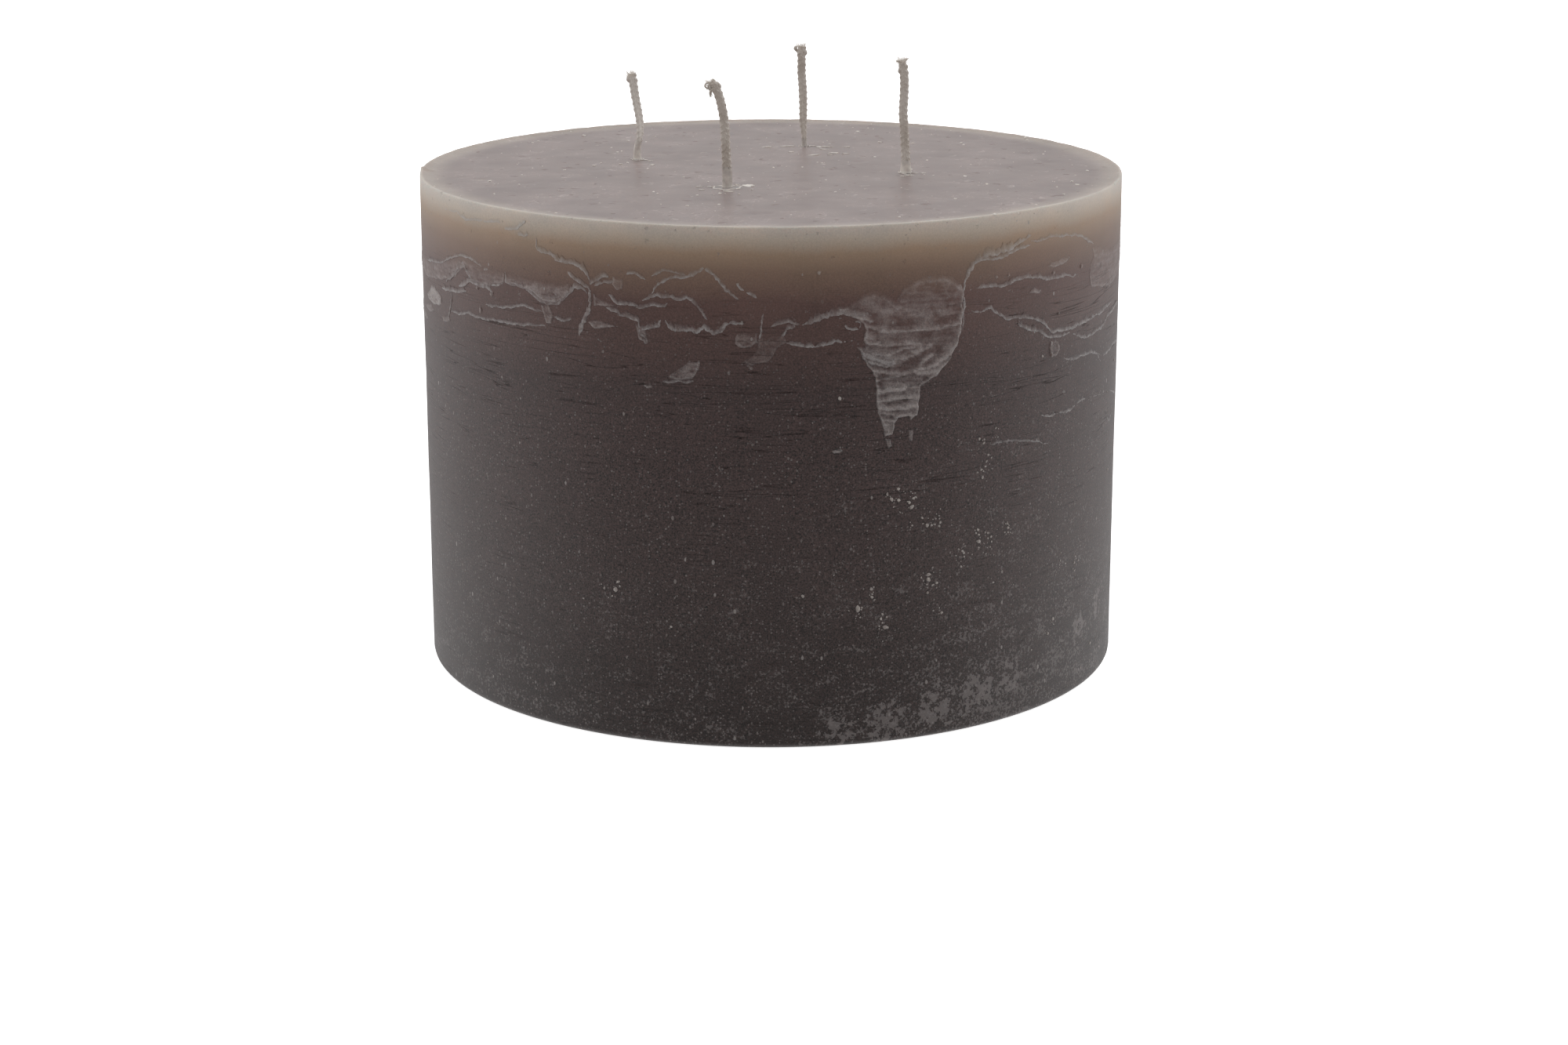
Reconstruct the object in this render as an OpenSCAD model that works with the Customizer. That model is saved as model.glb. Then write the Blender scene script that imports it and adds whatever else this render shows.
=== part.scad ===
// Rustic pillar candle with four braided wicks, in millimetres.
// The origin is the centre of the base, +Z is up, and -Y is the front.

/* [Wax pillar] */
// Diameter of the poured wax
candle_d = 200; // [150:1:260]
// Height of the wax, from the base to the rim
candle_h = 141; // [60:1:200]
// How far the flat top has sunk below the rim as the wax set
top_sink = 0.5; // [0.2:0.1:2]
// Width of the raised lip that the mould leaves round the rim
rim_lip_w = 1.2; // [0.6:0.1:2.4]
// Radius of the edge round the base
base_edge_r = 2; // [0.5:0.5:6]

/* [Wicks] */
// Diameter of the circle that the wicks stand on
wick_circle_d = 82; // [60:1:100]
// How far the middle of that circle lies behind the candle's axis
wick_back = 5; // [0:1:8]
// Turn of the wick pattern, in degrees
wick_turn = -18; // [-45:1:45]
// Diameter of a wick where it is primed and cast into the wax
wick_d = 2.6; // [2.6:0.1:4]
// Width of the flat braid above the wax
braid_w = 2.4; // [1.6:0.1:2.5]
// Thickness of the flat braid above the wax
braid_t = 1.9; // [1.2:0.1:2.5]
// How much wider the cut end of a braid has frayed
fray = 1.3; // [1:0.05:1.6]

/* [Wick seals] */
// Height of the wax sleeve at the foot of a wick
seal_h = 2.6; // [2:0.1:5]
// Wall of the sleeve round the wick
seal_wall = 0.3; // [0.2:0.1:1]
// Radius of the hollow fillet that runs out onto the top
seal_fillet_r = 2; // [1:0.1:2.4]
// Thickness of the fillet's outer edge
seal_edge = 0.2; // [0.1:0.1:0.6]

/* [Wick sustainers] */
// Diameter of the stamped disc that anchors a wick
disc_d = 20; // [14:1:30]
// Thickness of the tin plate
plate_t = 0.3; // [0.2:0.1:0.6]
// Gap between the table and the disc
disc_lift = 0.7; // [0.7:0.1:2]
// Height of the neck that grips the wick
neck_h = 7; // [4:0.5:12]
// Wall of the neck
neck_wall = 0.4; // [0.3:0.1:0.8]
// Radius of the bend from the disc to the neck
neck_bend_r = 1.2; // [0.5:0.1:2]
// Diameter of the stiffening bead pressed into the disc
bead_d = 13; // [10:0.5:13.5]
// Radius of the bead's outer face
bead_r = 0.5; // [0.4:0.05:0.6]

/* [Hidden] */
$fn = 96;
places = ["right", "back", "left", "front"];
kinds = ["wick", "wick_seal", "sustainer"];

wax_colour = "#8c827d";
seal_colour = "#a39a93";
cotton_colour = "#b0a69b";
tin_colour = "#c3c5c6";

candle_r = candle_d / 2;
lip_r = rim_lip_w / 2;
flat_z = candle_h - top_sink;
wick_r = wick_d / 2;
neck_r = wick_r + neck_wall;
// Cuts run this far past the face that they open
cut_past = 1;
// A wick stands straight and round to a little above its seal
straight_h = seal_h + 0.4;
// The braid starts this far down inside the straight stretch
braid_root = 2;
// The higher this is, the closer the fraying keeps to the cut end
fray_power = 12;

// How far each wick was set to the right of its place on the circle
wick_stray = [-0.7, -2.7, 0, 0.6];
// Free end of each wick, as points [right, back, up] from its foot on the flat top
routes = [
    [[-0.3, 0, 8], [-0.6, 0.2, 13], [-0.9, 0.3, 17], [-0.7, 0.2, 22], [-0.7, 0, 27], [-1.5, -0.3, 32]],
    [[-0.3, 0.2, 8], [-0.3, 0.5, 13], [-0.5, 0.6, 18], [-0.8, 0.4, 22], [-0.8, 0, 26], [-1, -0.5, 30]],
    [[0.8, 0.1, 7], [0.8, 0.3, 11], [0.2, 0.4, 15], [-0.5, 0.3, 19], [-0.9, 0, 22], [-1.5, -0.4, 25]],
    [[-0.2, 0, 9], [-0.4, -0.2, 13], [-0.6, -0.4, 17], [-1.1, -0.7, 21], [-2, -1, 25], [-3.2, -1.3, 28],
     [-4.6, -1.6, 29]],
];
// Turn of each braid's flat face away from the front at its foot and at its end, in degrees
braid_turns = [[0, 10], [35, 0], [70, 15], [0, -10]];
braid_sides = 8;
steps_per_span = 3;

function unit(v) = v / norm(v);

// Point at t, from 0 to 1, on the smooth curve between q[1] and q[2]
function spline_point(q, t) =
    (2 * q[1] + (q[2] - q[0]) * t + (2 * q[0] - 5 * q[1] + 4 * q[2] - q[3]) * t * t
     + (3 * q[1] - q[0] - 3 * q[2] + q[3]) * t * t * t) / 2;

// The route's points with one more at each end, so that every span has four
function padded(route) = let (last = len(route) - 1)
    concat([2 * route[0] - route[1]], route, [2 * route[last] - route[last - 1]]);

// Evenly stepped points along the smooth curve through a route
function smooth(route) = let (q = padded(route), spans = len(route) - 1)
    concat([for (i = [0:spans - 1], k = [0:steps_per_span - 1])
            spline_point([q[i], q[i + 1], q[i + 2], q[i + 3]], k / steps_per_span)],
           [route[spans]]);

// Direction of the line at its point i
function heading(line, i) = unit(line[min(i + 1, len(line) - 1)] - line[max(i - 1, 0)]);

// Oval ring of points square to the line at point i
function braid_ring(line, i, turns) =
    let (along = heading(line, i),
         share = i / (len(line) - 1),
         turn = turns[0] + (turns[1] - turns[0]) * share,
         across = unit(cross(along, [sin(turn), -cos(turn), 0])),
         through = cross(across, along),
         flare = 1 + (fray - 1) * pow(share, fray_power))
    [for (k = [0:braid_sides - 1]) let (angle = 360 * k / braid_sides)
        line[i] + flare * (across * cos(angle) * braid_w + through * sin(angle) * braid_t) / 2];

// One closed tube through all the rings, with a flat cap at each end
module skin(rings) {
    count = len(rings);
    sides = len(rings[0]);
    walls = [for (i = [0:count - 2], k = [0:sides - 1])
        let (a = i * sides + k, b = i * sides + (k + 1) % sides)
        each [[a, b, a + sides], [b, b + sides, a + sides]]];
    first_cap = [for (k = [1:sides - 2]) [0, k + 1, k]];
    last = (count - 1) * sides;
    last_cap = [for (k = [1:sides - 2]) [last, last + k, last + k + 1]];
    polyhedron([for (ring = rings) each ring], concat(walls, first_cap, last_cap));
}

// Moves its children to the axis of one wick
module at_wick(i) {
    angle = wick_turn + i * 360 / len(places);
    translate([wick_stray[i], wick_back, 0] + wick_circle_d / 2 * [cos(angle), sin(angle), 0]) children();
}

// Half section of the pillar: rounded base edge, straight side, and a half-round lip over a flat top
module pillar_section() {
    difference() {
        union() {
            square([candle_r, candle_h - lip_r]);
            square([candle_r - lip_r, flat_z]);
            translate([candle_r - lip_r, candle_h - lip_r]) circle(lip_r);
        }
        translate([0, flat_z]) square([candle_r - rim_lip_w, candle_h]);
        difference() {
            translate([candle_r - base_edge_r, 0]) square(base_edge_r);
            translate([candle_r - base_edge_r, base_edge_r]) circle(base_edge_r);
        }
    }
}

// Half section of a sustainer without its bore: disc, bend and neck
module sustainer_outline() {
    square([disc_d / 2, plate_t]);
    square([neck_r, neck_h]);
    difference() {
        square([neck_r + neck_bend_r, plate_t + neck_bend_r]);
        translate([neck_r + neck_bend_r, plate_t + neck_bend_r]) circle(neck_bend_r);
    }
}

// The poured wax, with a seat in its base for each sustainer and a hole for each wick
module wax_pillar() {
    color(wax_colour) difference() {
        rotate_extrude() pillar_section();
        for (i = [0:len(places) - 1]) at_wick(i) {
            cylinder(h = candle_h + cut_past, r = wick_r);
            translate([0, 0, -cut_past]) cylinder(h = cut_past + disc_lift + plate_t, d = disc_d);
            translate([0, 0, disc_lift]) rotate_extrude() sustainer_outline();
        }
    }
}

// Primed cord cast into the wax, and above it the flat braid with its own bend
module wick(i) {
    line = smooth(concat([[0, 0, straight_h - braid_root], [0, 0, straight_h]], routes[i]));
    color(cotton_colour) at_wick(i) {
        translate([0, 0, disc_lift]) cylinder(h = flat_z + straight_h - disc_lift, r = wick_r);
        translate([0, 0, flat_z])
            skin([for (n = [0:len(line) - 1]) braid_ring(line, n, braid_turns[i])]);
    }
}

// Spot of wax that closes the hole round a wick's foot
module wick_seal(i) {
    sleeve_r = wick_r + seal_wall;
    fillet_z = seal_edge + seal_fillet_r;
    color(seal_colour) at_wick(i) translate([0, 0, flat_z]) rotate_extrude() difference() {
        translate([wick_r, 0]) square([seal_wall + seal_fillet_r, seal_h]);
        translate([sleeve_r + seal_fillet_r, fillet_z]) circle(seal_fillet_r);
        translate([sleeve_r, fillet_z]) square([seal_fillet_r + cut_past, seal_h]);
    }
}

// Stamped tin disc with a neck that grips the wick's lower end
module sustainer(i) {
    groove_r = bead_r - plate_t / 2;
    color(tin_colour) at_wick(i) translate([0, 0, disc_lift]) rotate_extrude() difference() {
        union() {
            sustainer_outline();
            intersection() {
                translate([bead_d / 2, 0]) circle(bead_r);
                translate([0, -bead_r]) square([disc_d / 2, bead_r + plate_t]);
            }
        }
        translate([bead_d / 2, plate_t]) circle(groove_r);
        square([wick_r, neck_h]);
    }
}

wax_pillar();
for (i = [0:len(places) - 1]) {
    wick(i);
    wick_seal(i);
    sustainer(i);
}
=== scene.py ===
import math
import random
from functools import partial

import bmesh
import bpy
import numpy as np
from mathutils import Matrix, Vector, geometry, noise


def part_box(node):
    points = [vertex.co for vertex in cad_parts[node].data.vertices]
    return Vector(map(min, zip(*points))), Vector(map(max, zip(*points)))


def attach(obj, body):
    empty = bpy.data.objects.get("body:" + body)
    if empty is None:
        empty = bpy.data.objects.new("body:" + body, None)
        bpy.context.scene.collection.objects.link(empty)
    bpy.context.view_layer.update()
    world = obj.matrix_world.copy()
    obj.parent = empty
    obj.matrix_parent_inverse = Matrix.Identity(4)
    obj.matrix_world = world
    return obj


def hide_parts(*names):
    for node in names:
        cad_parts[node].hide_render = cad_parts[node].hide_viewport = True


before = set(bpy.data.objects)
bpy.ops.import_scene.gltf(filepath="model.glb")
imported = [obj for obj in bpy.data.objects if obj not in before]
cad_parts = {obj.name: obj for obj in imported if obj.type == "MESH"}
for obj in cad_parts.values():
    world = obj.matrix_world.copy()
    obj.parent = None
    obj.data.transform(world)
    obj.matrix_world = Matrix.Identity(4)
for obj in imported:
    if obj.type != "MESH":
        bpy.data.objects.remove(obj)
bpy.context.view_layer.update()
scene = bpy.context.scene
mm = 0.001
places = ["right", "back", "left", "front"]

# sizes that the CAD gives
pillarLow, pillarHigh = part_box("wax_pillar")
pillarRadius = (pillarHigh[0] - pillarLow[0]) / 2
rimHeight = pillarHigh[2]
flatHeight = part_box("wick_seal_right")[0][2]
print("frame loaded, pillar radius", round(pillarRadius / mm, 1), "mm")


def linear(hexColour):
    # sRGB hex to linear RGBA
    parts = [int(hexColour[i:i + 2], 16) / 255 for i in (1, 3, 5)]
    return [p / 12.92 if p <= 0.04045 else ((p + 0.055) / 1.055) ** 2.4 for p in parts] + [1]


def addNode(tree, kind, links=None, **settings):
    # a link is a socket, a node whose first live output is meant, a list of nodes, or a plain value;
    # a kind without Node in its name is a shader node
    node = tree.nodes.new(kind if "Node" in kind else "ShaderNode" + kind)
    for key, value in settings.items():
        setattr(node, key, value)
    for key, value in (links or {}).items():
        named = [s for s in node.inputs if s.name == key and s.enabled]
        socket = named[0] if named else node.inputs[key]
        for source in value if isinstance(value, list) and isinstance(value[0], bpy.types.Node) else [value]:
            if isinstance(source, bpy.types.Node):
                source = [s for s in source.outputs if s.enabled][0]
            if isinstance(source, bpy.types.NodeSocket):
                tree.links.new(source, socket)
            else:
                socket.default_value = source
    return node


def newMaterial(name):
    material = bpy.data.materials.new(name)
    material.use_nodes = True
    material.node_tree.nodes.clear()
    return material, partial(addNode, material.node_tree)


def meshPiece(name, points, faces, material, sharpAngle=50):
    mesh = bpy.data.meshes.new(name)
    mesh.from_pydata([tuple(p) for p in points], [], faces)
    mesh.materials.append(material)
    mesh.shade_smooth()
    mesh.set_sharp_from_angle(angle=math.radians(sharpAngle))
    piece = bpy.data.objects.new(name, mesh)
    scene.collection.objects.link(piece)
    return piece


def labelled(sizes):
    # tree inputs are named after a piece's values: wanderSize is Wander Size
    spaced = {key: "".join(" " + c if c.isupper() else c for c in key) for key in sizes}
    return {spaced[key].title(): value for key, value in sizes.items()}


def newTree(name, sizes):
    # a Geometry Nodes tree with its named inputs
    tree = bpy.data.node_groups.new(name, "GeometryNodeTree")
    tree.interface.new_socket("Geometry", in_out="INPUT", socket_type="NodeSocketGeometry")
    for label, value in labelled(sizes).items():
        kind = {int: "NodeSocketInt", float: "NodeSocketFloat"}.get(type(value), "NodeSocketMaterial")
        tree.interface.new_socket(label, in_out="INPUT", socket_type=kind).default_value = value
    tree.interface.new_socket("Geometry", in_out="OUTPUT", socket_type="NodeSocketGeometry")
    add = partial(addNode, tree)
    return tree, add, add("NodeGroupInput").outputs


def bakeTree(name, host, tree, sizes, sharpAngle=60):
    # runs a tree on a host mesh and keeps the result as a plain mesh
    piece = bpy.data.objects.new(name, host)
    scene.collection.objects.link(piece)
    modifier = piece.modifiers.new(name, "NODES")
    modifier.node_group = tree
    values = labelled(sizes)
    for item in tree.interface.items_tree:
        if item.in_out == "INPUT" and item.name in values:
            modifier[item.identifier] = values[item.name]
    depsgraph = bpy.context.evaluated_depsgraph_get()
    mesh = bpy.data.meshes.new_from_object(piece.evaluated_get(depsgraph), depsgraph=depsgraph)
    piece.modifiers.remove(modifier)
    piece.data = mesh
    mesh.name = name
    mesh.shade_smooth()
    mesh.set_sharp_from_angle(angle=math.radians(sharpAngle))
    return piece


def lineHost(name, lines, halfWidths=None):
    # loose polylines for a tree to follow
    mesh = bpy.data.meshes.new(name)
    points, edges, widths = [], [], []
    for number, line in enumerate(lines):
        start = len(points)
        points += [tuple(p) for p in line]
        edges += [(start + i, start + i + 1) for i in range(len(line) - 1)]
        widths += [halfWidths[number] if halfWidths else 0.0] * len(line)
    mesh.from_pydata(points, edges, [])
    mesh.attributes.new("halfWidth", "FLOAT", "POINT").data.foreach_set("value", widths)
    return mesh


def joinFrame(piece, slotName, *nodes):
    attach(piece, "root")
    if nodes:
        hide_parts(*nodes)


def paint(piece, paleness):
    # the pale attribute that the wax materials read
    piece.data.attributes.new("pale", "FLOAT", "POINT").data.foreach_set("value", paleness)


def twoWaves(spot, large, small, share):
    # slow noise and a share of finer noise
    return noise.noise(spot / large) + share * noise.noise(spot / small)


def onSide(angle, drop, lift=0):
    # degrees round from the front, positive to the right, and mm below the rim
    turn = math.radians(angle)
    reach = pillarRadius + lift
    return Vector((reach * math.sin(turn), -reach * math.cos(turn), rimHeight - drop * mm))


# Camera, floor and light

view = {"lens": 70, "sensor": 36, "distance": 869 * mm, "height": 274.4 * mm, "pitch": 15.38, "yaw": -0.246}
lens = bpy.data.cameras.new("photoCamera")
lens.lens = view["lens"]
lens.sensor_width = view["sensor"]
camera = bpy.data.objects.new("photoCamera", lens)
camera.location = (0, -view["distance"], view["height"])
camera.rotation_euler = (math.radians(90 - view["pitch"]), 0, math.radians(view["yaw"]))
scene.collection.objects.link(camera)
scene.camera = camera
scene.view_settings.view_transform = "Standard"

room = {"front": 0.4, "sides": 1.07, "back": 0.65, "above": 0.1, "floorGlow": 0.83, "floorReach": 9,
        "paper": "#f4f4f4"}
# axis of the direction, where its light starts to change and stops, and the light it has there
bands = [("Y", -0.75, 0.15, room["front"], room["sides"]), ("Y", 0.5, 1.0, 0.0, room["back"] - room["sides"]),
         ("Z", 0.4, 0.95, 0.0, room["above"])]
world = bpy.data.worlds.new("studio")
world.use_nodes = True
scene.world = world
world.node_tree.nodes.clear()
add = partial(addNode, world.node_tree)
# white paper beside and behind the candle, a dim room in front of it, a little more light from above
way = add("TexCoord").outputs["Generated"]
part = add("SeparateXYZ", {"Vector": way})
glow = 0.0
for axis, start, end, low, high in bands:
    band = add("MapRange", {
        "Value": part.outputs[axis], "From Min": start, "From Max": end, "To Min": low, "To Max": high},
        interpolation_type="SMOOTHSTEP")
    glow = add("Math", {0: glow, 1: band}, operation="ADD")
seen = add("LightPath").outputs["Is Camera Ray"]
strength = add("Mix", {"Factor": seen, "A": glow, "B": 1.0}, data_type="FLOAT")
lit = add("Background", {"Color": (1, 1, 1, 1), "Strength": strength})
add("OutputWorld", {"Surface": lit})

paperMaterial, add = newMaterial("whitePaperSweep")
shader = add("BsdfPrincipled", {
    "Base Color": linear(room["paper"]), "Roughness": 0.9, "Specular IOR Level": 0.0,
    "Emission Color": (1, 1, 1, 1), "Emission Strength": room["floorGlow"]})
add("OutputMaterial", {"Surface": shader})
far = room["floorReach"]
corners = [(-far, -far, 0), (far, -far, 0), (far, far, 0), (-far, far, 0)]
floor = meshPiece("floor", corners, [(0, 1, 2, 3)], paperMaterial)
floor.visible_diffuse = False
floor.visible_glossy = False
print("camera, floor and light set")


# Wax pillar

pillar = {
    "segments": 512,         # points round the side
    "rowStep": 2.2 * mm,     # rows up the side
    "baseEdge": 2.0 * mm,    # radius of the edge round the base
    "lipRadius": 0.5 * mm,   # the mould's lip round the rim
    "lipSlope": 2.6 * mm,    # how far its inner face runs down to the flat top
    "lipRough": 0.1 * mm,    # how uneven the lip is
    "lipWaves": (7 * mm, 1.8 * mm, 0.7),  # its large and small waves, and the small ones' share
    "swell": 0.14 * mm,      # slow unevenness of the poured side
    "swellWaves": (24 * mm, 5 * mm, 0.35),
    "dish": 0.16 * mm,       # slow unevenness of the flat top
    "dishWaves": (26 * mm, 6 * mm, 0.4),
    "topStep": 1.5 * mm,     # mesh spacing on the top
    "baseStep": 5.0 * mm,    # mesh spacing on the base
    "gouges": 46,            # shallow nicks in the top
    "gougeReach": 94,        # how far out they lie, how wide and how deep they are, in mm
    "gougeWide": (0.8, 2.2),
    "gougeDeep": (0.12, 0.4),
    "seatSides": 64,         # points round a sustainer's seat
    "seatTop": 1.02 * mm,    # the disc's upper face touches the wax
    "nibAngle": -88,         # where a scrap stands on the lip, degrees from the front
    "nibHeight": 0.8 * mm,
    "nibWidth": 0.7,         # in degrees
    "seed": 4,
}


def sideWave(x, y, z):
    return pillar["swell"] * twoWaves(Vector((x, y, z)), *pillar["swellWaves"])


def lipWave(x, y):
    rough = twoWaves(Vector((x, y, 0)), *pillar["lipWaves"])
    away = math.degrees(math.atan2(x, -y)) - pillar["nibAngle"]
    return pillar["lipRough"] * rough + pillar["nibHeight"] * math.exp(-(away / pillar["nibWidth"]) ** 2)


topNicks = []
chance = random.Random(pillar["seed"])
reach = pillar["gougeReach"]
while len(topNicks) < pillar["gouges"]:
    x, y = chance.uniform(-reach, reach) * mm, chance.uniform(-reach, reach) * mm
    if math.hypot(x, y) < reach * mm:
        topNicks.append((x, y, chance.uniform(*pillar["gougeWide"]) * mm,
                         chance.uniform(*pillar["gougeDeep"]) * mm))


def topWave(x, y):
    height = pillar["dish"] * twoWaves(Vector((x, y, 0.05)), *pillar["dishWaves"])
    for nickX, nickY, size, depth in topNicks:
        near = ((x - nickX) ** 2 + (y - nickY) ** 2) / size ** 2
        if near < 6:
            height -= depth * math.exp(-near)
    return height


def fillFlat(loops, inside, keep):
    # triangles between closed loops of points, with loose points inside them
    points = [p for loop in loops for p in loop]
    edges = []
    start = 0
    for loop in loops:
        edges += [(start + i, start + (i + 1) % len(loop)) for i in range(len(loop))]
        start += len(loop)
    points += inside
    found, _, faces, origin, _, _ = geometry.delaunay_2d_cdt([Vector(p) for p in points], edges, [], 1, 1e-7)
    triangles = []
    for face in faces:
        middle = sum((found[i] for i in face), Vector((0, 0))) / 3
        if keep(middle):
            triangles.append([origin[i][0] for i in face])
    return points, triangles


def gridInside(radius, step, clear):
    points = []
    rows = int(radius / step) + 1
    for row in range(-rows, rows + 1):
        for column in range(-rows, rows + 1):
            x, y = (column + 0.5 * (row % 2)) * step, row * step * 0.866
            if math.hypot(x, y) < radius and clear(x, y):
                points.append((x, y))
    return points


def makePillar(material):
    count = pillar["segments"]
    edge, lip = pillar["baseEdge"], pillar["lipRadius"]
    turns = [2 * math.pi * i / count for i in range(count)]
    profile = [(pillarRadius - edge + edge * math.sin(a), edge - edge * math.cos(a))
               for a in [math.pi / 2 * i / 6 for i in range(7)]]
    straight = rimHeight - lip - edge
    rows = int(straight / pillar["rowStep"])
    profile += [(pillarRadius, edge + straight * i / rows) for i in range(1, rows)]
    profile += [(pillarRadius - lip + lip * math.cos(a), rimHeight - lip + lip * math.sin(a))
                for a in [math.radians(t) for t in (0, 20, 40, 60, 80)]]
    profile += [(pillarRadius - lip - pillar["lipSlope"] * t,
                 rimHeight - (rimHeight - flatHeight) * t * t * (3 - 2 * t))
                for t in (0.1, 0.3, 0.5, 0.7, 0.9)]
    points, faces = [], []
    for radius, z in profile:
        onLip = max(0, (z - rimHeight + 2 * lip) / (2 * lip))
        for turn in turns:
            x, y = radius * math.cos(turn), radius * math.sin(turn)
            share = 1 + sideWave(x, y, z) / pillarRadius * min(1, z / edge)
            points.append((x * share, y * share, z + onLip * lipWave(x, y)))
    for row in range(len(profile) - 1):
        for i in range(count):
            j = (i + 1) % count
            faces.append((row * count + i, row * count + j, (row + 1) * count + j, (row + 1) * count + i))
    # the top
    inner = (len(profile) - 1) * count
    rim = [points[inner + i][:2] for i in range(count)]
    inside = pillarRadius - lip - pillar["lipSlope"] - 0.6 * mm
    loose = gridInside(inside, pillar["topStep"], lambda x, y: True)
    triangles = fillFlat([rim], loose, lambda middle: True)[1]
    names = [inner + i for i in range(count)] + [len(points) + i for i in range(len(loose))]
    points += [(x, y, flatHeight + topWave(x, y)) for x, y in loose]
    faces += [[names[i] for i in triangle] for triangle in triangles]
    # the base, with a seat for each sustainer
    seats = []
    for place in places:
        low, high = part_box("sustainer_" + place)
        seats.append(((low[0] + high[0]) / 2, (low[1] + high[1]) / 2, (high[0] - low[0]) / 2 + 0.05 * mm))
    loops = [[points[i][:2] for i in range(count)]]
    sides = pillar["seatSides"]
    for x, y, radius in seats:
        loops.append([(x + radius * math.cos(2 * math.pi * i / sides),
                       y + radius * math.sin(2 * math.pi * i / sides))
                      for i in range(sides)])
    loose = gridInside(pillarRadius - edge - 2 * mm, pillar["baseStep"],
                       lambda x, y: all(math.hypot(x - s[0], y - s[1]) > s[2] + 1.5 * mm for s in seats))
    flat, triangles = fillFlat(loops, loose, lambda middle: all(
        math.hypot(middle.x - s[0], middle.y - s[1]) > s[2] * 0.999 for s in seats))
    start = len(points)
    names = list(range(count)) + [start + i for i in range(len(flat) - count)]
    points += [(x, y, 0) for x, y in flat[count:]]
    faces += [[names[i] for i in reversed(triangle)] for triangle in triangles]
    for number, (x, y, radius) in enumerate(seats):
        first = start + number * sides
        upper = len(points)
        points += [(points[first + i][0], points[first + i][1], pillar["seatTop"]) for i in range(sides)]
        points.append((x, y, pillar["seatTop"]))
        for i in range(sides):
            j = (i + 1) % sides
            faces.append((first + i, upper + i, upper + j, first + j))
            faces.append((upper + i, upper + sides, upper + j))
    return meshPiece("waxPillar", points, faces, material)


# Poured wax, dyed grey brown and cast rustic in a cold mould. It is a dense matt wax that a little light
# enters. Down the side its colour runs from grey beige through tan to charcoal brown: the pale tan band under
# the rim is painted glow of light shining through the wax from the top, and the darkest wax at the base is
# painted shade.
# Frosting shows as pale flecks, and the pale attribute lightens the chilled runs and flakes.
wax = {
    # painted glow and shade: the pale stops in the first 20 mm stand in for light shining through the wax
    # from the top, and the last stop is painted shade at the base
    "sideColoursGlowAndShade": [(0, "#d0c8bf"), (3, "#c5b6a7"), (7, "#a58b75"), (12, "#856b5b"), (20, "#624842"),
               (44, "#463634"), (100, "#413533"), (136, "#322826")],  # mm below the rim
    "top": "#938582",
    "ring": "#b1a59c",           # painted glow: light shining through the wax shows round the rim of the top too
    "pale": "#bfb6b3",
    "fleck": "#9c9491",
    "frost": "#857d7b",
    # painted shade in the nicks of the top
    "nick": "#7d6b66",
    "scrape": "#d8cdc7",
    "index": 1.44,
    "specular": 0.58,
    "creaseSpecular": 0.2,
    "scatter": 0.2,              # share of the light that enters, and how far red, green and blue go
    "scatterRadius": (1.0, 0.6, 0.45),
    "scatterDepth": 5 * mm,
    "relief": 0.12 * mm,
    "roughness": 0.46,
    "topRoughness": 0.42,        # the top set against air and kept some gloss
    "mottle": 15 * mm,           # size of the cloudy patches
    "grain": 0.42 * mm,          # crystals that make the surface matt
    "granule": 0.8 * mm,         # grains of frosting that gather in drifts
    "drift": 8 * mm,
    "speck": 0.75 * mm,          # bright crystals in the matt ground, partly painted glints of their sparkle
    "fleckSpacing": 2.6 * mm,
    "pitSpacing": 3.2 * mm,      # small dents under the rim
    "gouge": 5.0 * mm,           # nicks in the top, darkened with painted shade
    "smear": 4.0 * mm,           # pale scrapes beside them
    "scratch": 8.0 * mm,         # how far its scratches wander
    "lace": 2.0 * mm,            # size of the bloom's flakes
    "wrinkle": 2.2 * mm,         # height of the creases that lie round the side
    "wrinkleLength": 55 * mm,
    "creaseWidth": 0.018,        # half width of a crease and of a scratch, as a share of its noise
    "scratchWidth": 0.012,
    # degrees from the front, mm below the rim, reach in mm
    "bloomSpots": [(10, 137, 8), (18, 135, 11), (26, 133, 12), (34, 131, 11), (41, 128, 7), (60, 122, 7),
                   (67, 119, 8), (100, 126, 11), (112, 130, 12), (150, 132, 12), (164, 134, 10),
                   (208, 132, 12), (250, 133, 11)],
}


def thinLines(add, field, halfWidth):
    # lines where a noise passes its middle value
    away = add("Math", {0: field, 1: 0.5}, operation="SUBTRACT")
    away = add("Math", {0: away}, operation="ABSOLUTE")
    return add("MapRange", {"Value": away, "From Min": halfWidth, "From Max": 0.0})


def scattered(add, where, spacing):
    # cells about one speck each: distance from the middle, and three values at random
    cell = add("TexVoronoi", {"Vector": where, "Scale": 1 / spacing})
    pick = add("SeparateColor", {"Color": cell.outputs["Color"]})
    return cell.outputs["Distance"], pick.outputs


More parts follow.
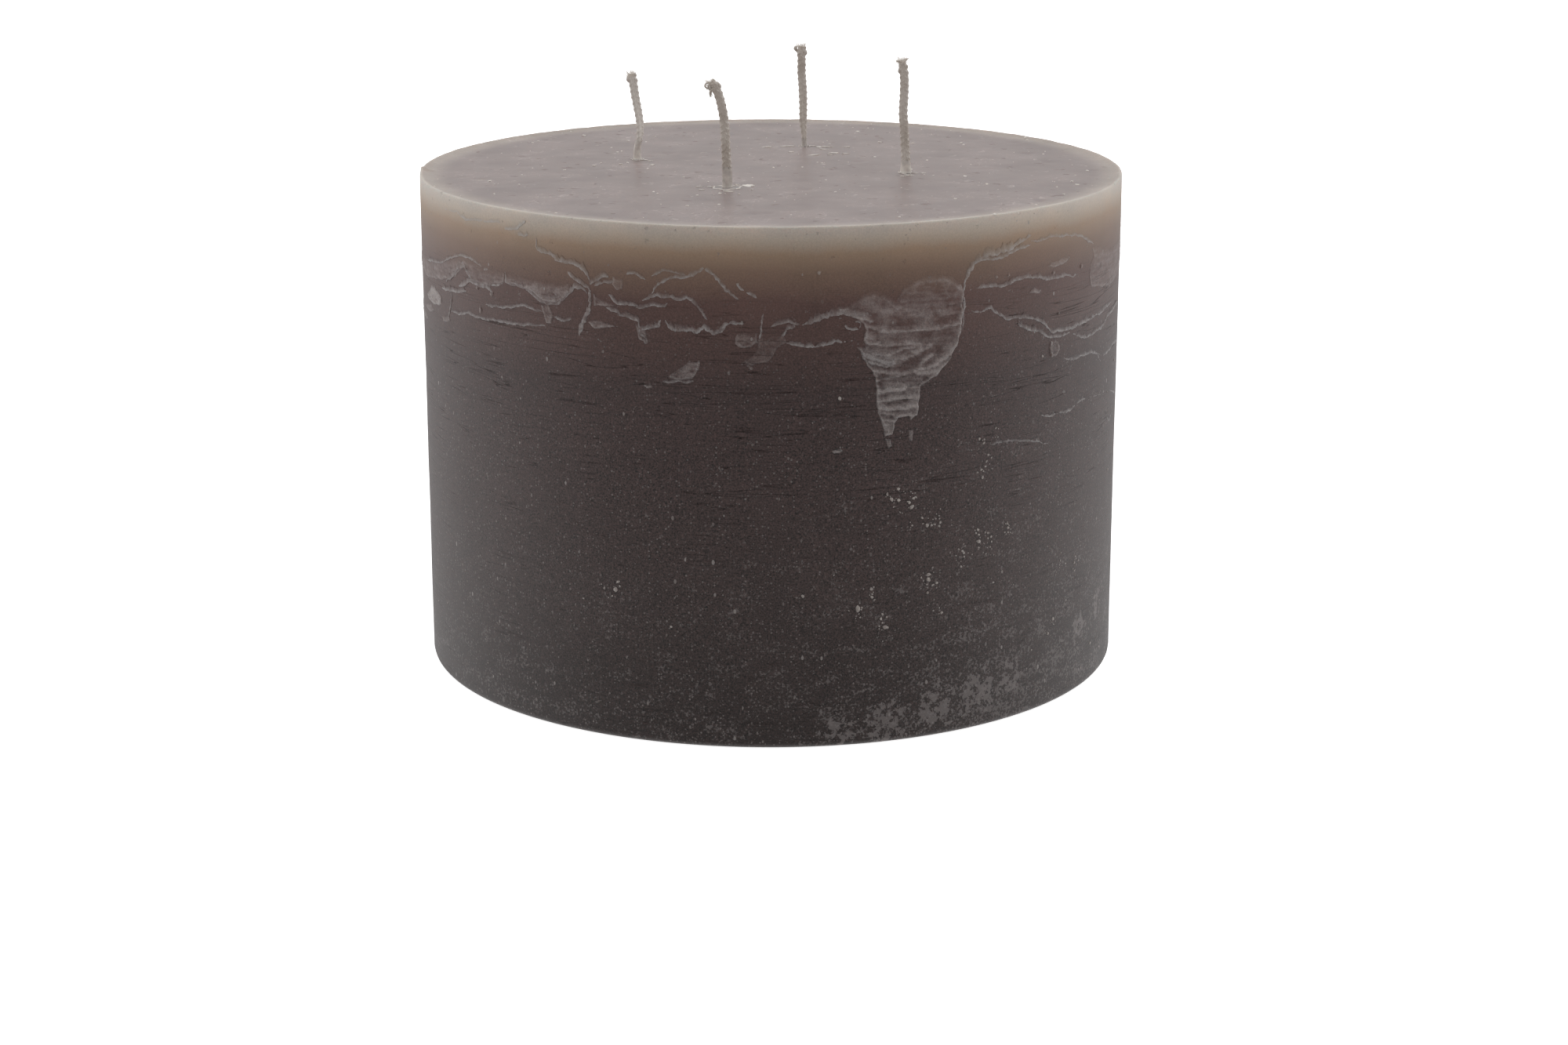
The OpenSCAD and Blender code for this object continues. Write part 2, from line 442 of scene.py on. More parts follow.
def pouredWax():
    material, add = newMaterial("paraffinWaxCastRustic")
    spot = add("TexCoord").outputs["Object"]
    axes = add("SeparateXYZ", {"Vector": spot})
    flat = add("VectorMath", {0: spot, 1: (1, 1, 0)}, operation="MULTIPLY")
    reach = add("VectorMath", {0: flat}, operation="LENGTH").outputs["Value"]
    # colour by depth below the rim, with a slow waver; its pale band under the rim is painted glow of light
    # through the wax, and its dark base is painted shade
    cloud = add("TexNoise", {"Vector": spot, "Scale": 1 / wax["mottle"], "Detail": 4.0, "Roughness": 0.55})
    drop = add("Math", {0: axes.outputs["Z"], 1: -1 / rimHeight, 2: 1.0}, operation="MULTIPLY_ADD")
    waver = add("Math", {0: cloud, 1: 0.03, 2: -0.015}, operation="MULTIPLY_ADD")
    depth = add("Math", {0: drop, 1: waver}, operation="ADD")
    side = add("ValToRGB", {"Fac": depth})
    stops = side.color_ramp.elements
    while len(stops) < len(wax["sideColoursGlowAndShade"]):
        stops.new(1.0)
    for stop, (mmDown, colour) in zip(stops, wax["sideColoursGlowAndShade"]):
        stop.position = mmDown * mm / rimHeight
        stop.color = linear(colour)
    # the flat top, and a painted glow of light through the wax in a ring near its rim
    onTop = add("MapRange", {
        "Value": axes.outputs["Z"], "From Min": flatHeight - 0.6 * mm, "From Max": flatHeight - 0.25 * mm})
    inLip = add("MapRange", {
        "Value": reach, "From Min": pillarRadius - 0.25 * mm, "From Max": pillarRadius - 1.0 * mm})
    onTop = add("Math", {0: onTop, 1: inLip}, operation="MULTIPLY")
    nearRim = add("MapRange", {
        "Value": reach, "From Min": pillarRadius - 9 * mm, "From Max": pillarRadius - 1 * mm},
        interpolation_type="SMOOTHSTEP")
    topWithGlowRing = add("Mix", {
        "Factor": nearRim, "A": linear(wax["top"]), "B": linear(wax["ring"])}, data_type="RGBA")
    ground = add("Mix", {"Factor": onTop, "A": side.outputs["Color"], "B": topWithGlowRing}, data_type="RGBA")
    # clouds lighten and darken it, and crystals and frosting stand out pale; the bright specks are partly
    # painted glints of the crystals
    grain = add("TexNoise", {"Vector": spot, "Scale": 1 / wax["grain"], "Detail": 2.0, "Roughness": 0.6})
    offTop = add("Math", {0: 1.0, 1: onTop}, operation="SUBTRACT")
    tone = add("MapRange", {
        "Value": cloud, "From Min": 0.3, "From Max": 0.7, "To Min": 0.86, "To Max": 1.08})
    crystal = add("MapRange", {
        "Value": grain, "From Min": 0.42, "From Max": 0.78, "To Min": -0.1, "To Max": 1.0}, clamp=False)
    lower = add("MapRange", {
        "Value": drop, "From Min": 0.08, "From Max": 0.42, "To Min": 0.06, "To Max": 0.8})
    sparkle = add("Mix", {"Factor": onTop, "A": lower, "B": 0.1}, data_type="FLOAT")
    crystal = add("Math", {0: crystal, 1: 1.9, 2: -0.12}, operation="MULTIPLY_ADD")
    tone = add("Math", {0: crystal, 1: sparkle, 2: tone}, operation="MULTIPLY_ADD")
    # bright specks: pale crystals, partly painted glints
    away, pick = scattered(add, spot, wax["speck"])
    speckSize = add("MapRange", {"Value": pick["Red"], "From Min": 0.4, "To Min": 0.0, "To Max": 0.4})
    speck = add("Math", {0: away, 1: speckSize}, operation="LESS_THAN")
    for share in (sparkle, pick["Green"]):
        speck = add("Math", {0: speck, 1: share}, operation="MULTIPLY")
    granule = add("TexNoise", {
        "Vector": spot, "Scale": 1 / wax["granule"], "Detail": 3.0, "Roughness": 0.65})
    lying = add("VectorMath", {0: spot, 1: (1, 1, 2.2)}, operation="MULTIPLY")
    drift = add("TexNoise", {"Vector": lying, "Scale": 1 / wax["drift"], "Detail": 3.0})
    frostDepth = add("MapRange", {
        "Value": drop, "From Min": 0.12, "From Max": 0.95, "To Min": -0.14, "To Max": 0.05})
    frost = add("Math", {0: drift, 1: 0.45, 2: granule}, operation="MULTIPLY_ADD")
    # painted light: the frosting grows towards the right side, which is more lit
    paintedLightToRight = add("MapRange", {
        "Value": axes.outputs["X"], "From Min": -20 * mm, "From Max": 60 * mm, "To Min": -0.05,
        "To Max": 0.0})
    for share in (paintedLightToRight, frostDepth):
        frost = add("Math", {0: frost, 1: share}, operation="ADD")
    frost = add("MapRange", {"Value": frost, "From Min": 0.8, "From Max": 0.88})
    frost = add("Math", {0: frost, 1: offTop}, operation="MULTIPLY")
    toned = add("VectorMath", {0: ground, "Scale": tone}, operation="SCALE")
    bright = add("Math", {0: frost, 1: 0.5}, operation="MULTIPLY")
    bright = add("Math", {0: bright, 1: speck}, operation="MAXIMUM")
    toned = add("Mix", {"Factor": bright, "A": toned, "B": linear(wax["frost"])}, data_type="RGBA")
    # creases that run round the side, with painted shade darkening the wax in them
    long = add("Mapping", {
        "Vector": spot, "Scale": (1 / wax["wrinkleLength"], 1 / wax["wrinkleLength"], 1 / wax["wrinkle"])})
    creaseField = add("TexNoise", {"Vector": long, "Scale": 1.0, "Detail": 2.0, "Distortion": 0.4})
    crease = thinLines(add, creaseField, wax["creaseWidth"])
    some = add("MapRange", {"Value": cloud, "From Min": 0.44, "From Max": 0.57})
    underRim = add("MapRange", {"Value": drop, "From Min": 0.1, "From Max": 0.2})
    fading = add("MapRange", {
        "Value": drop, "From Min": 0.4, "From Max": 0.65, "To Min": 1.0, "To Max": 0.5})
    for share in (some, underRim, fading):
        crease = add("Math", {0: crease, 1: share}, operation="MULTIPLY")
    paintedShade = add("MapRange", {"Value": crease, "To Min": 1.0, "To Max": 0.5})
    shadeInCreasesAndDents = add("VectorMath", {0: toned, "Scale": paintedShade}, operation="SCALE")
    # small dents under the rim, bent and uneven, with painted shade darkening them
    dentBend = add("VectorMath", {0: granule.outputs["Color"], "Scale": 2.4 * mm}, operation="SCALE")
    dentPlace = add("VectorMath", {0: spot, 1: dentBend}, operation="ADD")
    away, pick = scattered(add, dentPlace, wax["pitSpacing"])
    dentBand = add("MapRange", {"Value": drop, "From Min": 0.16, "From Max": 0.1, "To Max": 0.4})
    dentHere = add("Math", {0: pick["Red"], 1: dentBand}, operation="LESS_THAN")
    dentSize = add("MapRange", {"Value": pick["Green"], "To Min": 0.05, "To Max": 0.2})
    dent = add("Math", {0: away, 1: dentSize}, operation="DIVIDE")
    dent = add("MapRange", {"Value": dent, "From Min": 1.0, "From Max": 0.5})
    for share in (dentHere, offTop):
        dent = add("Math", {0: dent, 1: share}, operation="MULTIPLY")
    paintedShade = add("MapRange", {"Value": dent, "To Min": 1.0, "To Max": 0.8})
    shadeInCreasesAndDents = add("VectorMath", {0: shadeInCreasesAndDents, "Scale": paintedShade}, operation="SCALE")
    # nicks in the top, darkened brown with painted shade
    nickField = add("TexNoise", {
        "Vector": spot, "Scale": 1 / wax["gouge"], "Detail": 2.0, "Roughness": 0.7})
    nick = add("MapRange", {"Value": nickField, "From Min": 0.65, "From Max": 0.7})
    offRim = add("Math", {0: 1.0, 1: nearRim}, operation="SUBTRACT")
    for share in (onTop, offRim):
        nick = add("Math", {0: nick, 1: share}, operation="MULTIPLY")
    nickShaded = add("Mix", {"Factor": nick, "A": shadeInCreasesAndDents, "B": linear(wax["nick"])}, data_type="RGBA")
    # pale smears where the top was scraped
    smearField = add("TexNoise", {
        "Vector": spot, "Scale": 1 / wax["smear"], "Detail": 5.0, "Roughness": 0.72, "Distortion": 0.6})
    smear = add("MapRange", {"Value": smearField, "From Min": 0.62, "From Max": 0.7, "To Max": 0.5})
    smear = add("Math", {0: smear, 1: onTop}, operation="MULTIPLY")
    scratch = add("TexNoise", {
        "Vector": spot, "Scale": 1 / wax["scratch"], "Detail": 2.0, "Distortion": 1.2})
    scratch = thinLines(add, scratch, wax["scratchWidth"])
    scraped = add("MapRange", {"Value": cloud, "From Min": 0.5, "From Max": 0.62, "To Max": 0.4})
    for share in (scraped, onTop):
        scratch = add("Math", {0: scratch, 1: share}, operation="MULTIPLY")
    smear = add("Math", {0: smear, 1: scratch}, operation="MAXIMUM")
    nickShaded = add("Mix", {"Factor": smear, "A": nickShaded, "B": linear(wax["scrape"])}, data_type="RGBA")
    # frosting: small pale flecks, thicker towards the base
    upright = add("Mapping", {"Vector": spot, "Scale": (1, 1, 0.6)})
    away, pick = scattered(add, upright, wax["fleckSpacing"])
    sprinkle = add("MapRange", {
        "Value": drop, "From Min": 0.12, "From Max": 0.95, "To Min": 0.12, "To Max": 0.45})
    fleck = add("Math", {0: pick["Red"], 1: sprinkle}, operation="LESS_THAN")
    fleckSize = add("MapRange", {"Value": pick["Green"], "To Min": 0.05, "To Max": 0.17})
    within = add("Math", {0: away, 1: fleckSize}, operation="LESS_THAN")
    fleckShade = add("MapRange", {"Value": pick["Blue"], "To Min": 0.1, "To Max": 0.85})
    for share in (within, fleckShade):
        fleck = add("Math", {0: fleck, 1: share}, operation="MULTIPLY")
    flecked = add("Mix", {"Factor": fleck, "A": nickShaded, "B": linear(wax["fleck"])}, data_type="RGBA")
    # bloom that the mould left in a few places near the base
    bloom = None
    for angle, mmDown, mmWide in wax["bloomSpots"]:
        away = add("VectorMath", {0: spot, 1: onSide(angle, mmDown)}, operation="DISTANCE")
        here = add("MapRange", {
            "Value": away.outputs["Value"], "From Min": mmWide * mm, "From Max": 0.3 * mmWide * mm})
        bloom = here if bloom is None else add("Math", {0: bloom, 1: here}, operation="MAXIMUM")
    lace = add("TexNoise", {"Vector": spot, "Scale": 1 / wax["lace"], "Detail": 5.0, "Roughness": 0.68})
    bloom = add("Math", {0: bloom, 1: 0.2, 2: lace}, operation="MULTIPLY_ADD")
    bloom = add("MapRange", {"Value": bloom, "From Min": 0.675, "From Max": 0.685, "To Max": 0.6})
    bloom = add("Math", {0: bloom, 1: offTop}, operation="MULTIPLY")
    bloomed = add("Mix", {"Factor": bloom, "A": flecked, "B": linear(wax["frost"])}, data_type="RGBA")
    # runs, films and chips carry their own paleness
    pale = add("Attribute", attribute_name="pale").outputs["Fac"]
    patchy = add("MapRange", {
        "Value": grain, "From Min": 0.3, "From Max": 0.7, "To Min": 0.42, "To Max": 0.74})
    paleness = add("Math", {0: pale, 1: patchy}, operation="MULTIPLY")
    colour = add("Mix", {"Factor": paleness, "A": bloomed, "B": linear(wax["pale"])}, data_type="RGBA")
    # relief: grain, flecks and bloom stand up, creases and nicks go in
    coarse = add("Math", {0: grain, 1: sparkle}, operation="MULTIPLY")
    relief = fleck
    layers = [(coarse, 0.5), (bloom, 0.6), (crease, -1.1), (nick, -1.0), (dent, -1.6), (frost, 0.4)]
    for layer, height in layers:
        relief = add("Math", {0: layer, 1: height, 2: relief}, operation="MULTIPLY_ADD")
    bump = add("Bump", {"Height": relief, "Strength": 0.7, "Distance": wax["relief"]})
    gloss = add("Mix", {
        "Factor": onTop, "A": wax["roughness"], "B": wax["topRoughness"]}, data_type="FLOAT")
    dull = add("Math", {0: grain, 1: 0.2, 2: -0.1}, operation="MULTIPLY_ADD")
    dull = add("Math", {0: dull, 1: gloss}, operation="ADD")
    sheen = add("MapRange", {"Value": crease, "To Min": wax["specular"], "To Max": wax["creaseSpecular"]})
    shader = add("BsdfPrincipled", {
        "Base Color": colour, "Roughness": dull, "IOR": wax["index"], "Specular IOR Level": sheen,
        "Normal": bump, "Subsurface Weight": wax["scatter"], "Subsurface Radius": wax["scatterRadius"],
        "Subsurface Scale": wax["scatterDepth"]})
    add("OutputMaterial", {"Surface": shader})
    return material


waxMaterial = pouredWax()
waxPillar = makePillar(waxMaterial)
joinFrame(waxPillar, "wax", "wax_pillar")
print("pillar made,", len(waxPillar.data.polygons), "faces")

# Runs of wax that chilled on the mould wall: thin raised veins

veins = {
    "step": 0.4 * mm,        # mesh spacing along a vein
    "wander": 0.55 * mm,     # how far a vein strays from its points
    "wanderSize": 3.2 * mm,
    "flatten": 0.42,         # height of a vein for its half width
    "haze": 3.4,             # how far its upper side runs out in a thin film, in half widths
    "sides": 14,
    "pale": 1.0,
    "seed": 11,
    "pillarRadius": float(pillarRadius),
    "material": waxMaterial,
}
veinShare = 0.66  # share of the widths below that stands up
veinsFar = 46     # veins on the side away from the photograph

# width in mm, then degrees round from the front and mm below the rim
veinPaths = [
    (0.6, [(-64, 4.3), (-58, 4), (-55, 5.5), (-53, 5), (-50, 4.5), (-45, 4)]),
    (0.6, [(-75, 22), (-65, 20), (-60, 17), (-57, 15.5), (-53, 16), (-50, 17.5), (-45, 16.5)]),
    (1.0, [(-63, 24.5), (-61, 23), (-59.5, 21.5), (-58.5, 20), (-56, 18), (-55.5, 19.5), (-54, 21),
           (-52.5, 22.5)]),
    (1.0, [(-58, 24.5), (-56, 23.5), (-54.5, 22), (-49.5, 22.5), (-48, 24)]),
    (0.8, [(-52, 22), (-49, 21.5), (-46.5, 21), (-45, 20)]),
    (0.8, [(-65, 27.3), (-61, 26.5), (-58, 26), (-55.5, 25)]),
    (0.9, [(-61, 26.5), (-61, 29), (-61.3, 31), (-62, 33), (-62.3, 34)]),
    (0.6, [(-61.3, 32.4), (-58, 32.2), (-55, 31.2), (-52, 31.5), (-49, 31), (-45, 30.8), (-42, 30.7),
           (-38, 30), (-36.5, 29.8)]),
    (0.6, [(-50, 27.3), (-45, 26.8), (-41, 25.3), (-38.5, 25.8), (-37, 26)]),
    (0.7, [(-45, 5.5), (-42, 5), (-41, 3.5), (-40, 2.3)]),
    (0.6, [(-42, 6.2), (-39.5, 6.3)]),
    (1.0, [(-38, 6.5), (-37.9, 9.5), (-36.5, 10), (-35, 10.5), (-34, 11.5), (-32.5, 12), (-31, 12),
           (-30, 13), (-29, 14), (-28.3, 15.5), (-28, 17)]),
    (0.8, [(-32, 14.5), (-31.5, 15.5), (-30.5, 16.5), (-29.5, 17), (-28.5, 18), (-28, 19)]),
    (1.0, [(-45, 20), (-43, 20), (-41, 20.3), (-39, 21.5), (-37.5, 23), (-36, 23.8), (-34.5, 23.5),
           (-33, 22), (-31.7, 20), (-31, 18.3), (-29.5, 18.2), (-28.6, 19.5)]),
    (0.6, [(-43, 19), (-40, 20.8), (-37.5, 22), (-35, 22), (-33, 21)]),
    (0.6, [(-35, 27), (-33.5, 27.5), (-31.5, 27.3)]),
    (1.5, [(-28.2, 19), (-28.2, 22), (-28.7, 24.5), (-29.3, 27), (-29.8, 29.5), (-30.2, 31)]),
    (0.8, [(-28.2, 17), (-27, 16), (-26, 15), (-25, 14.8)]),
    (0.7, [(-27.3, 17.3), (-25.5, 16.2), (-23.5, 15.7)]),
    (0.8, [(-25, 19.5), (-23.5, 21.5), (-21, 21.5), (-20, 22)]),
    (0.9, [(-25.5, 23), (-24, 23.5), (-23, 24.5), (-21.5, 24.8), (-20.3, 25.5), (-20, 27), (-20, 29),
           (-19, 30.3)]),
    (0.8, [(-20, 28), (-18.5, 27.5), (-17, 26.8), (-16.5, 25)]),
    (1.0, [(-15.9, 25), (-15.5, 26.5), (-14.5, 27.7), (-13, 27.2), (-12, 27.5), (-11, 28), (-10.3, 27),
           (-10, 26), (-9.3, 27.2), (-8.5, 28), (-7.5, 27.5), (-6.5, 25.5)]),
    (0.7, [(-20.5, 22.3), (-19, 22), (-17.5, 21.3), (-16, 21.5), (-15.5, 20.5)]),
    (0.8, [(-19.5, 20.5), (-18, 19), (-17, 18.5), (-15.5, 19), (-14, 19.5), (-12.5, 19), (-11.5, 20),
           (-10.8, 21.5), (-10.2, 22.5), (-9.8, 24), (-9.3, 25)]),
    (0.8, [(-18, 18.5), (-17.5, 17), (-16.5, 15), (-15.5, 14.3), (-14, 13.7), (-12.5, 13.5), (-11.5, 12.8),
           (-10, 11), (-9, 12), (-8.3, 13.3), (-7.5, 15), (-6.8, 16.5), (-6, 17.5), (-5, 18.8), (-4, 19.3)]),
    (0.6, [(-17.8, 13.5), (-16, 12.3), (-14, 12.5), (-12.5, 13)]),
    (0.6, [(-22, 13.5), (-20.5, 13.3), (-19, 14.8)]),
    (0.6, [(-16.3, 41.5), (-14, 41), (-12.5, 41.2), (-11.7, 40.5)]),
    (0.7, [(-5.3, 14.8), (-4, 16.5), (-3, 17.5), (-2, 18.8)]),
    (0.6, [(-1.2, 22.5), (-1.3, 25), (-1.5, 28), (-1.6, 30)]),
    (0.8, [(-8, 28), (-7, 26), (-6, 25), (-4, 25.5)]),
    (0.7, [(0, 26), (1, 25), (3, 25), (4, 25.5)]),
    (0.7, [(1.5, 28.5), (2.3, 26.5), (3.5, 26)]),
    (1.4, [(4.5, 25.6), (6, 24.8), (8, 23.8), (10, 22.8), (12, 22.8), (13.5, 23.5), (15, 24)]),
    (0.8, [(2.3, 30), (3.5, 30.7), (5, 31.3), (6.5, 31.5), (8, 31), (9.5, 30), (11, 30.2), (13, 30),
           (13.7, 29.5)]),
    (0.6, [(11, 26), (11.3, 27.3), (13, 27), (13.5, 25.8), (12.5, 25)]),
    (1.2, [(30, 30), (30.3, 25), (30.2, 20), (30.3, 17), (31, 14.5), (32, 12.5), (33.5, 10.8), (35, 10.2),
           (36.5, 10.7), (38.5, 10), (40, 9), (42, 8), (43.5, 7)]),
    (0.7, [(31.5, 13), (33, 11.5), (35.5, 11.8), (37.5, 11.8), (39, 10.8), (41, 10), (43.5, 9.7)]),
    (0.6, [(43.5, 8.8), (46, 9), (48, 8.5), (51, 9), (55, 9.6), (57, 10.7), (59, 12), (60.5, 13),
           (61.5, 14)]),
    (0.8, [(30.5, 19.7), (33, 19), (35, 19), (37.5, 19.6), (40, 18.5), (42.5, 18.2), (44.5, 18.5),
           (46.5, 19.5), (48, 20), (50, 20.2), (52, 20), (54.5, 21), (56, 20.5)]),
    (0.8, [(30.8, 24), (32, 25.3), (33.5, 25.7), (35.3, 24.5), (36, 26), (37.5, 27.5), (39, 28.8),
           (40.5, 28.5), (42, 28.7), (43.5, 29.3), (45, 30), (47, 32), (48.5, 34), (49.5, 34.8), (55, 35.3),
           (58, 34.8), (62, 34.5), (66, 34), (70, 33.6), (72, 33)]),
    (0.7, [(41, 28.5), (40.8, 30), (43, 32), (45, 33), (46.5, 34.3), (48, 36), (50, 36.2), (52, 36.5),
           (54, 36.2)]),
    (0.7, [(55, 37), (57, 38.3), (59, 39.3), (61, 39.3), (64, 38.7), (66, 38.7), (67.5, 38), (69, 36.5),
           (71, 36), (80, 35.5)]),
    (0.7, [(52.5, 42.8), (55, 44), (58, 43.8), (62, 44.3), (64.5, 45.3), (67, 46.8), (70, 47), (74, 46),
           (80, 47)]),
    (0.6, [(64.5, 45.5), (66, 47.8), (68.5, 48.3), (69.5, 47)]),
    (0.7, [(45.3, 55), (46, 56.8), (48, 57.7), (51, 57.7), (54.5, 58), (57, 56.8), (60, 56.5), (63, 56.8),
           (66, 57.6), (70, 57.5), (74, 59.5), (79, 62)]),
    (0.5, [(35.5, 62), (38, 61.8), (41, 62.2), (45, 63.5), (47.5, 65), (50, 65)]),
    (0.5, [(70, 62), (71, 66), (73, 68), (75, 66), (75, 63)]),
]


def veinsBehind():
    # the same kind of runs, wandering round the side that the photograph doesn't show
    chance = random.Random(veins["seed"])
    paths = []
    for _ in range(veinsFar):
        angle = chance.uniform(82, 268)
        drop = chance.choice([8, 14, 18, 22, 26, 30, 34, 42]) + chance.uniform(-3, 3)
        falling = chance.random() < 0.22
        path = [(angle, drop)]
        for _ in range(chance.randint(4, 11)):
            angle += chance.uniform(-0.5, 0.5) if falling else chance.uniform(0.8, 2.6)
            drop += chance.uniform(1, 2.4) if falling else chance.uniform(-1.6, 1.7)
            path.append((min(angle, 277), max(3, drop)))
        paths.append((chance.uniform(0.5, 1.1), path))
    return paths


def veinTree():
    tree, add, size = newTree("chilledRuns", veins)
    curve = add("GeometryNodeMeshToCurve", {"Mesh": size["Geometry"]})
    curve = add("GeometryNodeResampleCurve", {"Curve": curve, "Length": size["Step"]}, mode="LENGTH")
    here = add("GeometryNodeInputPosition")
    fine = add("Math", {0: 1.0, 1: size["Wander Size"]}, operation="DIVIDE")
    stray = add("TexNoise", {
        "Vector": here, "W": size["Seed"], "Scale": fine, "Detail": 4.0, "Roughness": 0.75},
        noise_dimensions="4D")
    stray = add("VectorMath", {0: stray.outputs["Color"], 1: (0.5, 0.5, 0.5)}, operation="SUBTRACT")
    double = add("Math", {0: size["Wander"], 1: 4.0}, operation="MULTIPLY")
    stray = add("VectorMath", {0: stray, "Scale": double}, operation="SCALE")
    curve = add("GeometryNodeSetPosition", {"Geometry": curve, "Offset": stray})
    # back on to the side of the pillar
    flat = add("VectorMath", {0: here, 1: (1, 1, 0)}, operation="MULTIPLY")
    outward = add("VectorMath", {0: flat}, operation="NORMALIZE")
    onWall = add("VectorMath", {0: outward, "Scale": size["Pillar Radius"]}, operation="SCALE")
    height = add("VectorMath", {0: here, 1: (0, 0, 1)}, operation="MULTIPLY")
    settled = add("VectorMath", {0: onWall, 1: height}, operation="ADD")
    curve = add("GeometryNodeSetPosition", {"Geometry": curve, "Position": settled})
    # thick and thin along its length, and thin at both ends
    along = add("GeometryNodeSplineParameter").outputs["Factor"]
    other = add("Math", {0: 1.0, 1: along}, operation="SUBTRACT")
    nearEnd = add("Math", {0: along, 1: other}, operation="MINIMUM")
    taper = add("MapRange", {"Value": nearEnd, "From Max": 0.12, "To Min": 0.25, "To Max": 1.0})
    lumps = add("TexNoise", {"Vector": here, "Scale": 1 / (1.6 * mm), "Detail": 3.0, "Roughness": 0.65})
    lumps = add("MapRange", {
        "Value": lumps, "From Min": 0.3, "From Max": 0.7, "To Min": 0.2, "To Max": 1.65})
    half = add("GeometryNodeInputNamedAttribute", {"Name": "halfWidth"}, data_type="FLOAT")
    radius = taper
    for share in (lumps, half):
        radius = add("Math", {0: radius, 1: share}, operation="MULTIPLY")
    curve = add("GeometryNodeStoreNamedAttribute", {
        "Geometry": curve, "Name": "spine", "Value": here}, data_type="FLOAT_VECTOR", domain="POINT")
    ring = add("GeometryNodeCurvePrimitiveCircle", {"Resolution": size["Sides"], "Radius": 1.0})
    ridge = add("GeometryNodeCurveToMesh", {
        "Curve": curve, "Profile Curve": ring, "Scale": radius, "Fill Caps": True})
    # press each ridge flatter against the wall, and draw its upper side out thin
    spine = add("GeometryNodeInputNamedAttribute", {"Name": "spine"}, data_type="FLOAT_VECTOR")
    offset = add("VectorMath", {0: here, 1: spine}, operation="SUBTRACT")
    above = add("SeparateXYZ", {"Vector": offset}).outputs["Z"]
    above = add("Math", {0: above, 1: 0.0}, operation="MAXIMUM")
    above = add("Math", {0: above, 1: half}, operation="DIVIDE")
    thinner = add("MapRange", {"Value": above, "To Min": size["Flatten"], "To Max": 0.12})
    rise = add("VectorMath", {0: flat}, operation="LENGTH").outputs["Value"]
    rise = add("Math", {0: rise, 1: size["Pillar Radius"]}, operation="SUBTRACT")
    rise = add("Math", {0: rise, 1: thinner, 2: size["Pillar Radius"]}, operation="MULTIPLY_ADD")
    pressed = add("VectorMath", {0: outward, "Scale": rise}, operation="SCALE")
    pressed = add("VectorMath", {0: pressed, 1: height}, operation="ADD")
    drawn = above
    for share in (half, size["Haze"]):
        drawn = add("Math", {0: drawn, 1: share}, operation="MULTIPLY")
    drawn = add("CombineXYZ", {"Z": drawn})
    pressed = add("VectorMath", {0: pressed, 1: drawn}, operation="ADD")
    ridge = add("GeometryNodeSetPosition", {"Geometry": ridge, "Position": pressed})
    # pale along the lower edge, fading up the film, and some stretches fade into the wax
    full = add("Math", {0: size["Haze"], 1: 1.0}, operation="ADD")
    crest = add("Math", {0: above, 1: full}, operation="DIVIDE")
    crest = add("MapRange", {
        "Value": crest, "From Min": 0.08, "From Max": 1.0, "To Min": 1.0, "To Max": 0.0})
    crest = add("Math", {0: crest, 1: 1.5}, operation="POWER")
    fade = add("TexNoise", {"Vector": here, "Scale": 1 / (6 * mm), "Detail": 2.0})
    fade = add("MapRange", {"Value": fade, "From Min": 0.36, "From Max": 0.6, "To Min": 0.6, "To Max": 1.0})
    broken = add("TexNoise", {"Vector": here, "Scale": 1 / (1.1 * mm), "Detail": 3.0})
    broken = add("MapRange", {
        "Value": broken, "From Min": 0.36, "From Max": 0.58, "To Min": 0.4, "To Max": 1.1})
    for share in (broken, crest, size["Pale"]):
        fade = add("Math", {0: fade, 1: share}, operation="MULTIPLY")
    ridge = add("GeometryNodeStoreNamedAttribute", {
        "Geometry": ridge, "Name": "pale", "Value": fade}, data_type="FLOAT", domain="POINT")
    ridge = add("GeometryNodeRealizeInstances", {"Geometry": ridge})
    ridge = add("GeometryNodeSetMaterial", {"Geometry": ridge, "Material": size["Material"]})
    add("NodeGroupOutput", {"Geometry": ridge})
    return tree


allVeins = veinPaths + veinsBehind()
veinLines = [[onSide(angle, drop) for angle, drop in path] for width, path in allVeins]
veinWidths = [veinShare * width * mm / 2 for width, path in allVeins]
waxVeins = bakeTree("waxVeins", lineHost("waxVeins", veinLines, veinWidths), veinTree(), veins)
joinFrame(waxVeins, "wax")
print("veins made,", len(waxVeins.data.polygons), "faces")


# Films of wax that ran down and chilled in thin sheets

films = {
    "step": 0.35 * mm,       # mesh spacing
    "ragged": 0.55 * mm,     # how far an edge strays
    "root": 0.9 * mm,        # how deep a film goes into the wax behind it
    "seed": 7,               # noise_vector would differ from run to run without one
}

